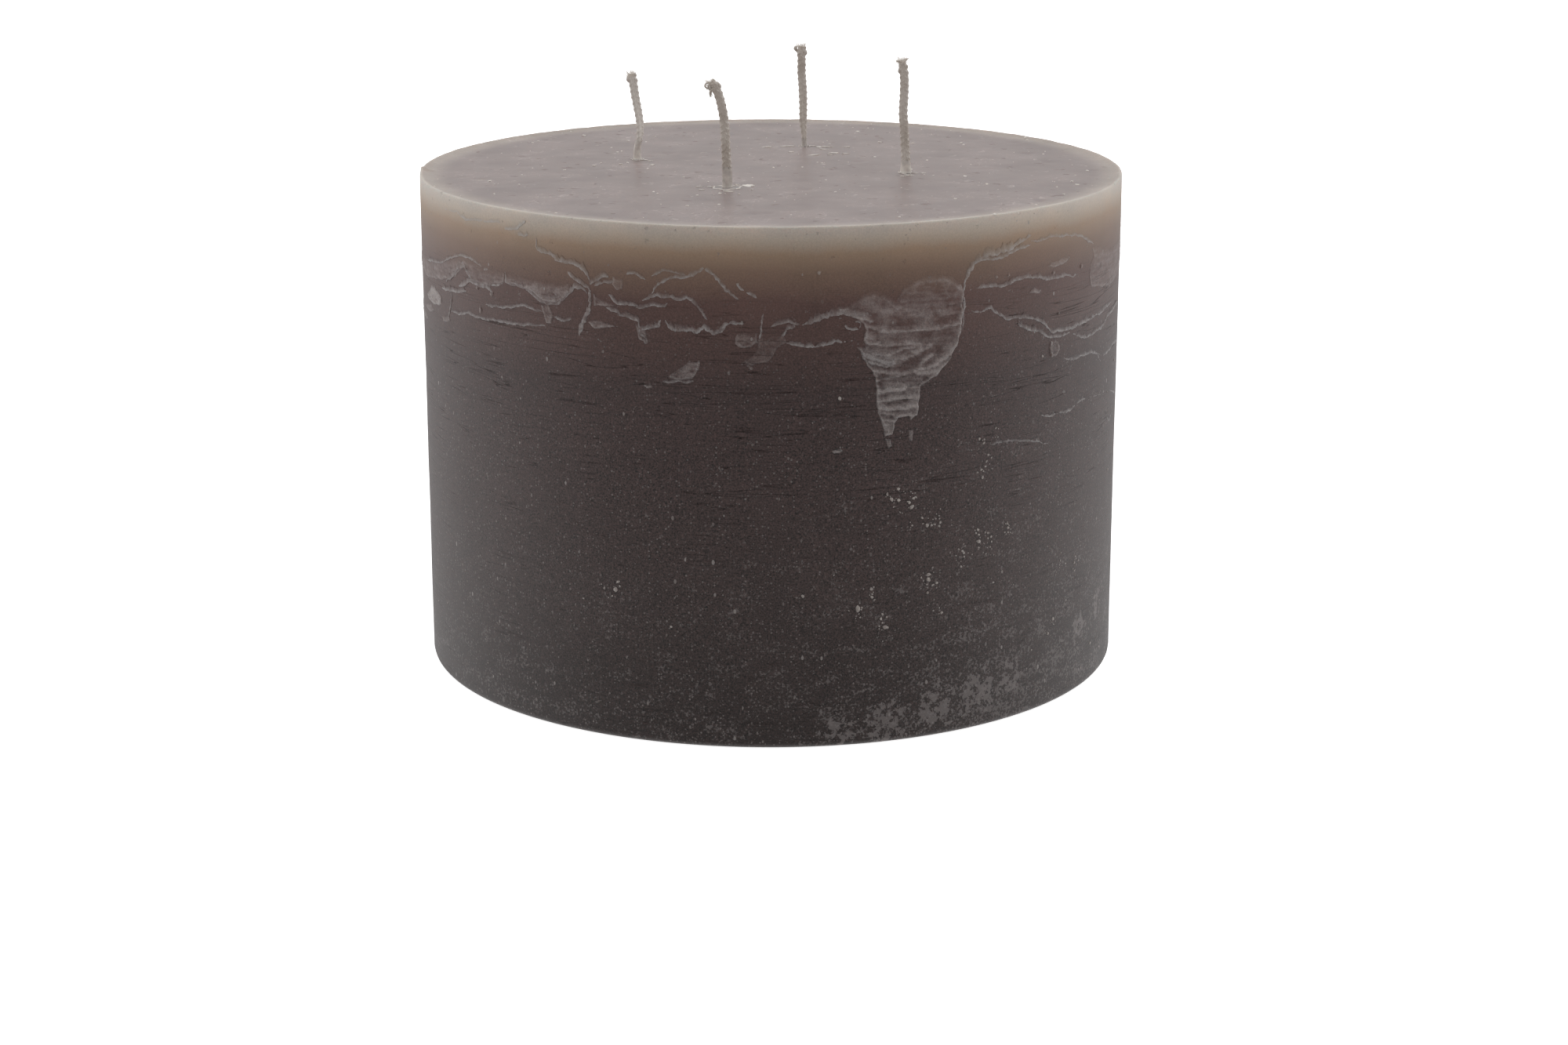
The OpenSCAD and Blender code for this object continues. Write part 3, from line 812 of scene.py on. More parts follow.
# outline in degrees and mm below the rim, thickness and softness of the upper edge in mm, how pale, streaks,
# and in places how full its body is and lines drawn on it: width in mm, strength and route
filmPatches = [
    {"outline": [(9.5, 21.5), (11.8, 20), (13.5, 18), (15.5, 17), (17.5, 18.5), (19, 20), (20, 17),
                 (21.5, 15), (23.5, 14.3), (26, 14.3), (28, 15), (29.5, 17), (30, 20), (30, 25), (29.8, 30),
                 (29, 34), (27.5, 38), (25.5, 41), (23, 43.3), (22.8, 47), (22.5, 51), (21.5, 52.3),
                 (20.8, 51.2), (19.5, 51.5), (18.8, 53), (18.6, 56), (17.2, 56), (17, 53), (16, 50),
                 (15.8, 45), (15.8, 40), (14.5, 37.3), (13.2, 33), (14, 31), (14, 28), (13.8, 25.5),
                 (12, 23.8)],
     "thick": 0.5, "soft": 3, "pale": 1.0, "streaks": 0.25, "body": 0.15,
     "lines": [
         (1.6, 0.5, [(9.3, 21.8), (11.4, 21.6), (13.6, 19.6), (15.5, 19), (17.5, 20), (19, 22.4)]),
         (1.7, 0.75, [(19.7, 18.2), (21, 16.8), (23.4, 15.6), (26, 15.6), (28.3, 16.8), (29.6, 19)]),
         (2.2, 0.25, [(15, 22.5), (19, 24), (24, 24.5), (27.5, 25)]),
         (0.8, 0.8, [(30.5, 17.6), (30.1, 22), (30.2, 24.5), (29.8, 26), (29.8, 28.6), (29.6, 31.3)]),
         (0.7, 0.7, [(8.9, 24.7), (11.8, 24.5), (14.2, 24.6), (14.9, 25.5)]),
         (0.7, 0.65, [(13.9, 26.3), (15.4, 27.4), (17.7, 28.5), (20.2, 28.5), (26, 28.6), (28.2, 28.3),
                      (29.8, 27.5)]),
         (0.7, 0.45, [(13.8, 29.2), (15.2, 30), (15.5, 31.4)]),
         (0.8, 0.6, [(13.9, 31.4), (15.5, 31.4), (17.5, 31.9), (19.3, 31.8), (23.2, 32.3)]),
         (1.4, 0.9, [(13.4, 33.4), (15.2, 35.4), (16.9, 36.6), (18.2, 36.9)]),
         (0.5, 0.6, [(14.9, 34.2), (17.7, 34.5), (18.9, 33.8), (20.2, 33), (21.9, 33.2)]),
         (1.4, 0.65, [(20.2, 35.9), (21.9, 34.9), (23.2, 33.7), (24.5, 32.9)]),
         (0.7, 0.65, [(22.8, 38.2), (23.6, 36.6), (25.1, 35.4)]),
         (0.9, 0.75, [(21.9, 39.4), (24.9, 38.7), (26, 37.6), (27.2, 36.4), (28.9, 34)]),
         (0.6, 0.6, [(15.5, 38.6), (17.9, 39.4), (20.2, 39.7), (21.9, 39.4)]),
         (1.3, 0.7, [(22.3, 40), (24.5, 40.2), (26.8, 39.5)]),
         (0.4, 0.5, [(15.9, 41.1), (18, 40.6), (20.2, 40.2)]),
         (0.5, 0.55, [(16.9, 41.9), (20.3, 42.5)]),
         (1.4, 0.85, [(16.1, 44.6), (17.8, 43.9), (20.3, 43.9)]),
         (0.5, 0.5, [(20.8, 43.8), (23.3, 43.6), (25, 43)]),
         (1.0, 0.8, [(16.2, 46.9), (18, 46.6), (20.3, 46.2), (22.6, 46.6)]),
         (1.2, 0.9, [(16.2, 48.7), (18, 49.1), (20.3, 48.9), (22.9, 48.6)]),
         (0.5, 0.6, [(16.6, 49.8), (18.6, 50.4)]),
         (0.7, 0.8, [(19.1, 51.2), (20.3, 51.2), (22, 51.4)]),
         (0.6, 0.6, [(16.6, 51.7), (18, 52.1), (19.3, 52.3)]),
         (0.8, 0.6, [(17.4, 53.4), (17.8, 54.9), (18, 56.6)]),
         (0.5, 0.5, [(21.2, 52.5), (21.6, 53.6), (21.4, 56.4)]),
     ]},
    {"outline": [(-74, 31), (-71, 28), (-69, 27.3), (-65.5, 29.5), (-65.5, 32), (-69, 33), (-73.5, 32.5)],
     "body": 0.8, "thick": 0.25, "soft": 1, "pale": 1.0, "streaks": 0.2},
    {"outline": [(-89, 22.4), (-84, 20.8), (-78, 21), (-70, 20), (-62, 17.5), (-56, 15.5), (-50, 17),
                 (-45, 17), (-45, 20), (-50, 22), (-54, 21.5), (-56, 18.5), (-60, 22.5), (-66, 25),
                 (-73, 26.5), (-77, 25.4), (-81, 26.2), (-85, 24.2)],
     "thick": 0.3, "soft": 3, "pale": 0.65, "streaks": 0.5},
    {"outline": [(-45, 17), (-40, 17.5), (-36, 18), (-32, 17.5), (-31.5, 20), (-33, 22), (-35, 23.5),
                 (-37, 23), (-39, 21.3), (-42, 20.2), (-45, 20)],
     "thick": 0.35, "soft": 2.5, "pale": 0.8, "streaks": 0.4, "body": 0.55},
    {"outline": [(-77, 35.4), (-74, 33.8), (-71, 33.2), (-69.5, 34.6), (-71.5, 35.8), (-74.5, 36.2)],
     "thick": 0.2, "soft": 0.8, "pale": 0.8, "streaks": 0},
    {"outline": [(-84, 38), (-80, 36.6), (-76.5, 37.2), (-73.6, 38.3), (-76, 39.2), (-80.5, 39.6)],
     "thick": 0.2, "soft": 1, "pale": 0.7, "streaks": 0},
    {"outline": [(-65, 34.5), (-62, 33.5), (-61.8, 35.5), (-64.5, 36.3)], "thick": 0.4, "soft": 0.6,
     "pale": 0.8, "streaks": 0},
    {"outline": [(-37.3, 24), (-35.5, 24), (-34.8, 26.5), (-35.3, 29), (-36.2, 29.3), (-36.8, 26.5)],
     "thick": 0.5, "soft": 0.6, "pale": 0.75, "streaks": 0},
    {"outline": [(-27.7, 19.6), (-25, 21.3), (-22.8, 22.2), (-25, 22.4), (-27.5, 22.6)],
     "thick": 0.4, "soft": 0.6, "pale": 0.8, "streaks": 0},
    {"outline": [(-28.7, 27.2), (-27, 26.4), (-25.3, 27), (-23.2, 27.4), (-25.5, 28.3), (-27.5, 28.7)],
     "thick": 0.5, "soft": 0.5, "pale": 0.9, "streaks": 0},
    {"outline": [(-24.2, 14.3), (-22.5, 14.8), (-22.3, 17.5), (-23.6, 18.2), (-24.3, 16.5)],
     "thick": 0.3, "soft": 1.2, "pale": 0.45, "streaks": 0.3},
    {"outline": [(-20.6, 26.5), (-19.3, 26.8), (-18.6, 29.8), (-19.2, 31), (-20.2, 30.3)],
     "thick": 0.45, "soft": 0.8, "pale": 0.7, "streaks": 0},
    {"outline": [(-15.8, 40.2), (-14, 38), (-12.5, 35.5), (-10.4, 34.8), (-10.9, 38), (-12, 40.2),
                 (-14, 40.6)],
     "thick": 0.5, "soft": 0.5, "pale": 0.9, "streaks": 0.3},
    {"outline": [(-19.4, 42.3), (-18.2, 42.2), (-17.7, 43), (-18.8, 43.5)], "thick": 0.4, "soft": 0.4,
     "pale": 0.8, "streaks": 0},
    {"outline": [(-5, 27.3), (-2, 28), (-1.8, 30.5), (-4, 31.5), (-5.5, 30.8)],
     "thick": 0.35, "soft": 1.2, "pale": 0.6, "streaks": 0.4},
    {"outline": [(-1.7, 29.3), (0, 28.3), (1.7, 28.3), (2.2, 30), (1, 31.7), (0.3, 34), (-0.5, 35.2),
                 (-3, 36), (-4.6, 35.4), (-2.8, 34), (-2, 31.5)],
     "thick": 0.45, "soft": 0.8, "pale": 0.35, "streaks": 0.4},
    {"outline": [(12.8, 31.7), (14.5, 31.5), (15.8, 34), (18.2, 35.2), (18.7, 36.6), (17.5, 38), (15, 36.8),
                 (13.6, 34.8)],
     "thick": 0.75, "soft": 0.5, "pale": 1.0, "streaks": 0.2},
    {"outline": [(43, 22), (44.5, 21.3), (46.6, 22.3), (45, 22.9), (43.5, 22.8)],
     "thick": 0.4, "soft": 0.4, "pale": 0.8, "streaks": 0},
    {"outline": [(47, 16.3), (49.5, 15.2), (52, 14.8), (53.8, 15.3), (51.5, 16.6), (49, 17.1)],
     "thick": 0.45, "soft": 0.5, "pale": 0.8, "streaks": 0.2},
    {"outline": [(48.6, 36.8), (49.8, 36.3), (50.8, 37.5), (51, 40), (50, 41.8), (48.8, 41.5), (48.2, 39.3)],
     "thick": 0.7, "soft": 0.6, "pale": 0.7, "streaks": 0},
    {"outline": [(61, 14.3), (64, 15), (70, 17.5), (80, 17), (85, 18.6), (90, 21.4), (86, 23.2), (80, 25),
                 (75, 27.2), (70, 28.2), (65, 26.7), (61, 25.7), (60, 22), (60.7, 19), (61.6, 17)],
     "thick": 0.2, "soft": 2, "pale": 0.5, "streaks": 0.5},
    {"outline": [(9, 59), (10.3, 58.6), (10.8, 59.3), (9.4, 60)], "thick": 0.5, "soft": 0.3, "pale": 1.0,
     "streaks": 0},
    {"outline": [(17.4, 56.7), (18.2, 56.8), (18.3, 58.8), (17.8, 59.5), (17.5, 58.5)],
     "thick": 0.4, "soft": 0.4, "pale": 0.7, "streaks": 0},
    {"outline": [(21, 54.8), (21.8, 55), (21.6, 57.8), (21.1, 58)], "thick": 0.35, "soft": 0.4, "pale": 0.6,
     "streaks": 0},
    # runs on the side that the photograph doesn't show
    {"outline": [(107.5, 18.5), (110, 15.5), (112.5, 17), (114, 14.8), (117, 15.5), (119.5, 18),
                 (121.5, 20.5), (120, 24), (120.5, 28), (118, 33), (116, 38), (115.2, 43), (115.4, 46),
                 (114, 49.5), (113, 45.5), (111.5, 47), (111, 40), (109, 35), (108.5, 30), (106.5, 25),
                 (107.2, 22)],
     "thick": 0.45, "soft": 4, "pale": 0.8, "streaks": 0.5},
    {"outline": [(138, 22), (143, 20), (149, 21), (155, 23), (154, 27), (149, 29), (143, 28), (139, 26)],
     "thick": 0.35, "soft": 2, "pale": 0.6, "streaks": 0.4},
    {"outline": [(169, 19), (170.5, 16), (173, 14.5), (175, 16.5), (177, 14), (181, 14.5), (184, 17.5),
                 (186, 21), (184.8, 25), (185, 29), (182, 33), (180, 37), (178.8, 41), (178, 46),
                 (176.8, 47), (176, 51.5), (174.6, 53), (174.4, 48), (173, 45), (173.2, 40), (171.5, 35),
                 (169.5, 29), (170, 25), (168.4, 22)],
     "thick": 0.45, "soft": 4, "pale": 0.85, "streaks": 0.5},
    {"outline": [(196, 27), (201, 25.5), (206, 27), (208, 30), (204, 33), (199, 32)],
     "thick": 0.45, "soft": 1, "pale": 0.8, "streaks": 0.2},
    {"outline": [(222, 18), (230, 16.5), (238, 18), (243, 21), (240, 25), (232, 26), (225, 24)],
     "thick": 0.35, "soft": 2.5, "pale": 0.55, "streaks": 0.5},
    {"outline": [(251.5, 23.2), (254.5, 22.6), (256, 23.6), (258, 21.8), (261.5, 23), (260, 26), (260.6, 29),
                 (258.8, 32), (258.8, 36), (257.3, 41), (256.6, 37), (255.4, 35), (255.6, 31), (253.4, 27)],
     "thick": 0.45, "soft": 1.5, "pale": 0.75, "streaks": 0.3},
]

# single drops: degrees, mm below the rim, mm across, mm down
drops = [(-52.3, 23, 1.6, 1.8), (-48.3, 23.8, 1.6, 1.6), (-51.4, 28.8, 1.2, 2), (-19, 30.5, 1.5, 1.8),
         (-6.2, 38, 1, 1.4), (-3, 36.4, 1.2, 1.6), (57.3, 18.5, 1.3, 1.6), (49, 18.5, 1.2, 1.3),
         (50.6, 29.8, 1, 1.2), (38.5, 16.5, 1, 1.2), (36.2, 16.8, 1, 1), (-34, 11.5, 1.8, 1.3),
         (7, 12, 1.2, 1.4), (103, 30, 1.4, 2), (131, 35, 1.5, 1.8), (160, 31, 1.3, 1.7), (190, 24, 1.6, 1.6),
         (213, 38, 1.2, 2), (246, 29, 1.5, 1.5), (268, 33, 1.4, 1.8)]


def filmSlab(patch, points, faces, paleness):
    outline = np.array(patch["outline"], float)
    outline[:, 0] *= math.pi / 180 * pillarRadius / mm  # the wall rolled flat, in mm
    step = films["step"] / mm
    low, high = outline.min(axis=0) - 1.6, outline.max(axis=0) + 1.6
    across = np.arange(low[0], high[0], step)
    down = np.arange(low[1], high[1], step)
    spots = np.array([(u, v) for v in down for u in across])
    stray = np.array([noise.noise_vector(Vector((u, v, 3)) / 2.6)
                      + noise.noise_vector(Vector((u, v, 9)) / 0.9) * 0.4
                      for u, v in spots])[:, :2] * films["ragged"] / mm
    moved = spots + stray
    start, end = outline, np.roll(outline, -1, axis=0)
    span = end - start
    gap = moved[:, None, :] - start[None, :, :]
    share = np.clip((gap * span).sum(axis=2) / (span ** 2).sum(axis=1), 0, 1)
    away = gap - share[:, :, None] * span
    distance = np.hypot(away[:, :, 0], away[:, :, 1])
    nearest = distance.argmin(axis=1)
    rows = np.arange(len(spots))
    edgeGap = away[rows, nearest]
    reach = distance[rows, nearest]
    below = (start[None, :, 1] > moved[:, None, 1]) != (end[None, :, 1] > moved[:, None, 1])
    crossing = start[None, :, 0] + span[None, :, 0] * (moved[:, None, 1] - start[None, :, 1]) / np.where(
        span[None, :, 1] == 0, 1e-9, span[None, :, 1])
    within = (below & (moved[:, None, 0] < crossing)).sum(axis=1) % 2 == 1
    inward = np.where(within, reach, -reach)
    # the upper edge runs out softly, the lower edge stops in a bead
    edgeAbove = np.clip((edgeGap[:, 1] / np.maximum(reach, 1e-6) - 0.1) / 0.6, 0, 1) * within
    soft = 0.5 + edgeAbove * max(0, patch["soft"] - 0.5)
    rise = np.clip(inward / soft, 0, 1)
    rise = rise * rise * (3 - 2 * rise)
    bead = np.exp(-((inward - 0.3) / 0.28) ** 2) * (1 - edgeAbove)
    streak = np.array([noise.noise(Vector((u / 9, v / 0.9, 5)))
                       + 0.6 * noise.noise(Vector((u / 2.5, v / 0.6, 8))) for u, v in spots])
    streak *= patch["streaks"]
    lump = np.array([noise.noise(Vector((u, v, 1)) / 3.5)
                     + 0.5 * noise.noise(Vector((u, v, 4)) / 1.1) for u, v in spots])
    # drawn streaks: soft above, with a crisp lower edge
    drawn = np.zeros(len(spots))
    for wide, gain, path in patch.get("lines", []):
        line = np.array(path, float) * (math.pi / 180 * pillarRadius / mm, 1)
        legs = line[1:] - line[:-1]
        gap = (spots + 0.5 * stray)[:, None, :] - line[None, :-1, :]
        share = np.clip((gap * legs).sum(axis=2) / (legs ** 2).sum(axis=1), 0, 1)
        off = gap - share[:, :, None] * legs
        far = np.hypot(off[:, :, 0], off[:, :, 1])
        near = far.argmin(axis=1)
        under = off[rows, near][:, 1] > 0
        drawn = np.maximum(drawn,
                           gain * np.exp(-(far[rows, near] / np.where(under, 0.28 * wide, wide)) ** 1.6))
    lace = np.array([noise.noise(Vector((u / 1.5, v / 0.7, 2)))
                     + 0.7 * noise.noise(Vector((u / 0.6, v / 0.45, 6))) for u, v in spots])
    drawn = drawn * (1 + 0.45 * lace)
    body = patch.get("body", 0.36) * (1 + 0.9 * lace)
    height = patch["thick"] * (rise * (0.7 * body + 0.2 * lump + 0.3 * streak + 0.6 * drawn) + 0.4 * bead)
    height = np.where(inward > 0, np.maximum(height, 0.03 * rise), np.maximum(inward * 1.3, -0.8))
    tint = patch["pale"] * np.clip(rise * (body + 0.3 * lump + 0.75 * streak + drawn) + 0.6 * bead, 0, 1)
    keep = inward > -0.7
    columns = len(across)
    cells = [(r, c) for r in range(len(down) - 1) for c in range(columns - 1)
             if keep[[r * columns + c, r * columns + c + 1, (r + 1) * columns + c,
                      (r + 1) * columns + c + 1]].any()]
    used = sorted({i for r, c in cells for i in (r * columns + c, r * columns + c + 1, (r + 1) * columns + c,
                                                 (r + 1) * columns + c + 1)})
    front = {index: len(points) + n for n, index in enumerate(used)}
    back = {index: len(points) + len(used) + n for n, index in enumerate(used)}
    for depth in (None, -films["root"]):
        for index in used:
            angle = spots[index, 0] / (pillarRadius / mm) * 180 / math.pi
            wall = onSide(angle, spots[index, 1])
            lift = sideWave(*wall) + (height[index] * mm if depth is None else depth)
            points.append(onSide(angle, spots[index, 1], lift))
            paleness.append(float(tint[index]) if depth is None else 0.0)
    rims = {}
    for r, c in cells:
        corners = [r * columns + c, (r + 1) * columns + c, (r + 1) * columns + c + 1, r * columns + c + 1]
        faces.append([front[i] for i in corners])
        faces.append([back[i] for i in reversed(corners)])
        for a, b in zip(corners, corners[1:] + corners[:1]):
            if (b, a) in rims:
                del rims[b, a]
            else:
                rims[a, b] = True
    for a, b in rims:
        faces.append([front[b], front[a], back[a], back[b]])


def makeFilms(material):
    noise.seed_set(films["seed"])
    points, faces, paleness = [], [], []
    for patch in filmPatches:
        filmSlab(patch, points, faces, paleness)
    for angle, drop, wide, tall in drops:
        ring = [(angle + wide / 2 * math.cos(t) / (pillarRadius / mm) * 180 / math.pi,
                 drop + tall / 2 * math.sin(t))
                for t in [2 * math.pi * i / 12 for i in range(12)]]
        filmSlab({"outline": ring, "thick": 0.6, "soft": 0.6, "pale": 0.75, "streaks": 0}, points, faces,
                 paleness)
    piece = meshPiece("waxFilms", points, faces, material)
    paint(piece, paleness)
    return piece


waxFilms = makeFilms(waxMaterial)
joinFrame(waxFilms, "wax")
print("films made,", len(waxFilms.data.polygons), "faces")

# Drips and crumbs of the same wax. They set fast and thin, so they are paler and a little glossier than the
# pillar. The pale attribute runs from beige primed wax to nearly white flakes.
drips = {
    "thick": "#948a86",
    "thin": "#f1e9e0",
    "cloud": 1.4 * mm,
    "grain": 0.3 * mm,
    "relief": 0.06 * mm,
    "roughness": 0.38,
    "scatterRadius": (1.0, 0.8, 0.7),
    "scatterDepth": 1 * mm,
}


def drippedWax():
    material, add = newMaterial("paraffinWaxDripped")
    spot = add("TexCoord").outputs["Object"]
    cloud = add("TexNoise", {"Vector": spot, "Scale": 1 / drips["cloud"], "Detail": 3.0})
    grain = add("TexNoise", {"Vector": spot, "Scale": 1 / drips["grain"], "Detail": 2.0})
    pale = add("Attribute", attribute_name="pale").outputs["Fac"]
    uneven = add("MapRange", {
        "Value": cloud, "From Min": 0.3, "From Max": 0.7, "To Min": -0.18, "To Max": 0.18})
    mixed = add("Math", {0: pale, 1: uneven}, operation="ADD", use_clamp=True)
    colour = add("Mix", {
        "Factor": mixed, "A": linear(drips["thick"]), "B": linear(drips["thin"])}, data_type="RGBA")
    bump = add("Bump", {"Height": grain, "Strength": 0.5, "Distance": drips["relief"]})
    shader = add("BsdfPrincipled", {
        "Base Color": colour, "Roughness": drips["roughness"], "IOR": wax["index"], "Normal": bump,
        "Subsurface Weight": wax["scatter"], "Subsurface Radius": drips["scatterRadius"],
        "Subsurface Scale": drips["scatterDepth"]})
    add("OutputMaterial", {"Surface": shader})
    return material


dripMaterial = drippedWax()

# Crumbs of wax left on the top and chips on the side

crumbs = {
    "topDensity": 7000.0,        # per square metre
    "sideDensity": 1500.0,
    "small": 0.14 * mm,
    "large": 0.5 * mm,
    "topPale": 1.0,
    "sidePale": 0.15,
    "seed": 23,
    "clusterDensity": 2.0e6,     # per square metre in the middle of a cluster
    "clusterReach": 4.5 * mm,
    "flatHeight": float(flatHeight),
    "material": dripMaterial,
}
# degrees from the front, mm below the rim
crumbClusters = [(37, 58), (35, 60), (35, 68), (19, 73), (22, 74), (21, 78), (24, 81), (26, 80), (34, 87),
                 (36, 89), (31, 91), (33, 90), (25, 97), (15, 98), (13, 103), (17, 108), (57, 104),
                 (53, 100), (50, 118), (27, 107), (40, 86), (-25, 100), (104, 70), (120, 95), (147, 84),
                 (171, 102), (190, 76), (214, 92), (243, 88), (256, 108)]


def crumbTree():
    tree, add, size = newTree("waxCrumbs", crumbs)
    here = add("GeometryNodeInputPosition")
    axes = add("SeparateXYZ", {"Vector": here})
    level = add("Math", {0: size["Flat Height"], 1: 0.4 * mm}, operation="SUBTRACT")
    onTop = add("Math", {0: axes.outputs["Z"], 1: level}, operation="GREATER_THAN")
    offBase = add("Math", {0: axes.outputs["Z"], 1: 2 * mm}, operation="GREATER_THAN")
    # thicker in clusters and towards the base
    lower = add("MapRange", {
        "Value": axes.outputs["Z"], "From Min": 0.11, "From Max": 0.0, "To Min": 0.25, "To Max": 1.0})
    cluster = add("TexNoise", {"Vector": here, "Scale": 1 / (16 * mm), "Detail": 2.0})
    cluster = add("MapRange", {
        "Value": cluster, "From Min": 0.42, "From Max": 0.68, "To Min": 0.1, "To Max": 2.4})
    thick = add("Mix", {
        "Factor": onTop, "A": size["Side Density"], "B": size["Top Density"]}, data_type="FLOAT")
    where = add("Mix", {"Factor": onTop, "A": lower, "B": 1.0}, data_type="FLOAT")
    for share in (where, cluster):
        thick = add("Math", {0: thick, 1: share}, operation="MULTIPLY")
    gathered = 0.0
    for angle, drop in crumbClusters:
        away = add("VectorMath", {0: here, 1: onSide(angle, drop)}, operation="DISTANCE")
        away = add("MapRange", {
            "Value": away.outputs["Value"], "From Min": size["Cluster Reach"], "From Max": 0.0})
        gathered = add("Math", {0: away, 1: gathered}, operation="MAXIMUM")
    gathered = add("Math", {0: gathered, 1: 3.0}, operation="POWER")
    clump = add("TexNoise", {"Vector": here, "Scale": 1 / (1.6 * mm), "Detail": 1.0})
    clump = add("MapRange", {
        "Value": clump, "From Min": 0.44, "From Max": 0.62, "To Min": 0.1, "To Max": 1.8})
    gathered = add("Math", {0: gathered, 1: clump}, operation="MULTIPLY")
    thick = add("Math", {0: gathered, 1: size["Cluster Density"], 2: thick}, operation="MULTIPLY_ADD")
    thick = add("Math", {0: thick, 1: offBase}, operation="MULTIPLY")
    spots = add("GeometryNodeDistributePointsOnFaces", {
        "Mesh": size["Geometry"], "Density": thick, "Seed": size["Seed"]})
    # a lump with broken faces, turned and stretched at random
    lump = add("GeometryNodeMeshIcoSphere", {"Radius": 1.0, "Subdivisions": 2})
    dents = add("TexNoise", {"Vector": here, "Scale": 1.3, "Detail": 1.0})
    dents = add("VectorMath", {0: dents.outputs["Color"], 1: (0.5, 0.5, 0.5)}, operation="SUBTRACT")
    dents = add("VectorMath", {0: dents, "Scale": 1.6}, operation="SCALE")
    lump = add("GeometryNodeSetPosition", {"Geometry": lump, "Offset": dents})
    spin = add("FunctionNodeRandomValue", {"Max": 6.28, "Seed": size["Seed"]}, data_type="FLOAT")
    turn = add("CombineXYZ", {"Z": spin})
    turn = add("FunctionNodeEulerToRotation", {"Euler": turn})
    turn = add("FunctionNodeRotateRotation", {
        "Rotation": spots.outputs["Rotation"], "Rotate By": turn}, rotation_space="LOCAL")
    grow = add("FunctionNodeRandomValue", {"Seed": 3}, data_type="FLOAT")
    grow = add("Math", {0: grow, 1: 3.0}, operation="POWER")
    grow = add("MapRange", {"Value": grow, "To Min": size["Small"], "To Max": size["Large"]})
    larger = add("Math", {0: gathered, 1: 0.4, 2: 1.0}, operation="MULTIPLY_ADD")
    grow = add("Math", {0: grow, 1: larger}, operation="MULTIPLY")
    shape = add("FunctionNodeRandomValue", {
        0: (0.6, 0.8, 0.35), 1: (1.0, 1.7, 0.7), "Seed": 5}, data_type="FLOAT_VECTOR")
    grown = add("VectorMath", {0: shape, "Scale": grow}, operation="SCALE")
    lumps = add("GeometryNodeInstanceOnPoints", {
        "Points": spots.outputs["Points"], "Instance": lump, "Rotation": turn, "Scale": grown})
    lumps = add("GeometryNodeRealizeInstances", {"Geometry": lumps})
    tint = add("Mix", {"Factor": onTop, "A": size["Side Pale"], "B": size["Top Pale"]}, data_type="FLOAT")
    lumps = add("GeometryNodeStoreNamedAttribute", {
        "Geometry": lumps, "Name": "pale", "Value": tint}, data_type="FLOAT", domain="POINT")
    lumps = add("GeometryNodeSetMaterial", {"Geometry": lumps, "Material": size["Material"]})
    add("NodeGroupOutput", {"Geometry": lumps})
    return tree


waxCrumbs = bakeTree("waxCrumbs", waxPillar.data, crumbTree(), crumbs, sharpAngle=35)
joinFrame(waxCrumbs, "wax")
print("crumbs made,", len(waxCrumbs.data.polygons), "faces")


# Braided wicks

wicks = {
    "strands": 3,                # bundles in the plait
    "yarns": 7,                  # yarns in a bundle, one of them in its middle
    "yarnRadius": 0.19 * mm,
    "bundleRadius": 0.32 * mm,
    "swing": 0.86 * mm,          # how far a bundle goes to each side
    "cross": 0.22 * mm,          # how far it goes to the front and back
    "core": 0.6 * mm,            # radius of the straight cords that fill its middle
    "repeat": 5.2 * mm,          # length of one full plait
    "flare": 0.25,               # how much wider the cut end has splayed
    "fan": 0.8 * mm,             # how far the bundles' ends part there
    "step": 0.28 * mm,
    "hairs": 2.0e6,              # loose fibres on the braid, per square metre
    "hairRadius": 0.022 * mm,    # drawn a little thicker than cotton, to show
    "hairLength": 0.6 * mm,
    "tipFibres": 240,
    "tipLength": 1.5 * mm,
    "pinch": 1.0,                # how narrow a braid is at its foot
    "waxed": 0.1,                # how much of its priming wax shows
    "footTurn": 0.0,             # turn of its flat face
    "endTurn": 0.0,
    "seed": 1,
}
# where a wick differs, and how much more than the others its end has frayed
ownSizes = {"right": {}, "back": {"pinch": 0.6, "waxed": 0.2}, "left": {"pinch": 0.62, "waxed": 0.8},
            "front": {}}
frayed = {"right": 1.7, "back": 1.5, "left": 1.0, "front": 1.0}
cord = {"radius": 1.25 * mm, "sides": 20, "below": 0.6 * mm}  # the round cord inside the wax
# free end of each wick, as points right, back and up from its foot in mm, and the turn of its flat face
wickRoutes = {
    "right": [(-0.3, 0, 8), (-0.6, 0.2, 13), (-0.9, 0.3, 17), (-0.7, 0.2, 22), (-0.7, 0, 27),
              (-1.5, -0.3, 32)],
    "back": [(-0.3, 0.2, 8), (-0.3, 0.5, 13), (-0.5, 0.6, 18), (-0.8, 0.4, 22), (-0.8, 0, 26),
             (-1, -0.5, 30)],
    "left": [(0.8, 0.1, 7), (0.8, 0.3, 11), (0.2, 0.4, 15), (-0.5, 0.3, 19), (-0.9, 0, 22), (-1.5, -0.4, 25)],
    "front": [(-0.2, 0, 9), (-0.4, -0.2, 13), (-0.6, -0.4, 17), (-1.1, -0.7, 21), (-2, -1, 25),
              (-3.2, -1.3, 28), (-4.6, -1.6, 29)],
}
wickTurns = {"right": (0, 10), "back": (60, -30), "left": (75, 10), "front": (0, -10)}


def wickFoot(place):
    low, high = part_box("wick_seal_" + place)
    return Vector(((low[0] + high[0]) / 2, (low[1] + high[1]) / 2, flatHeight))


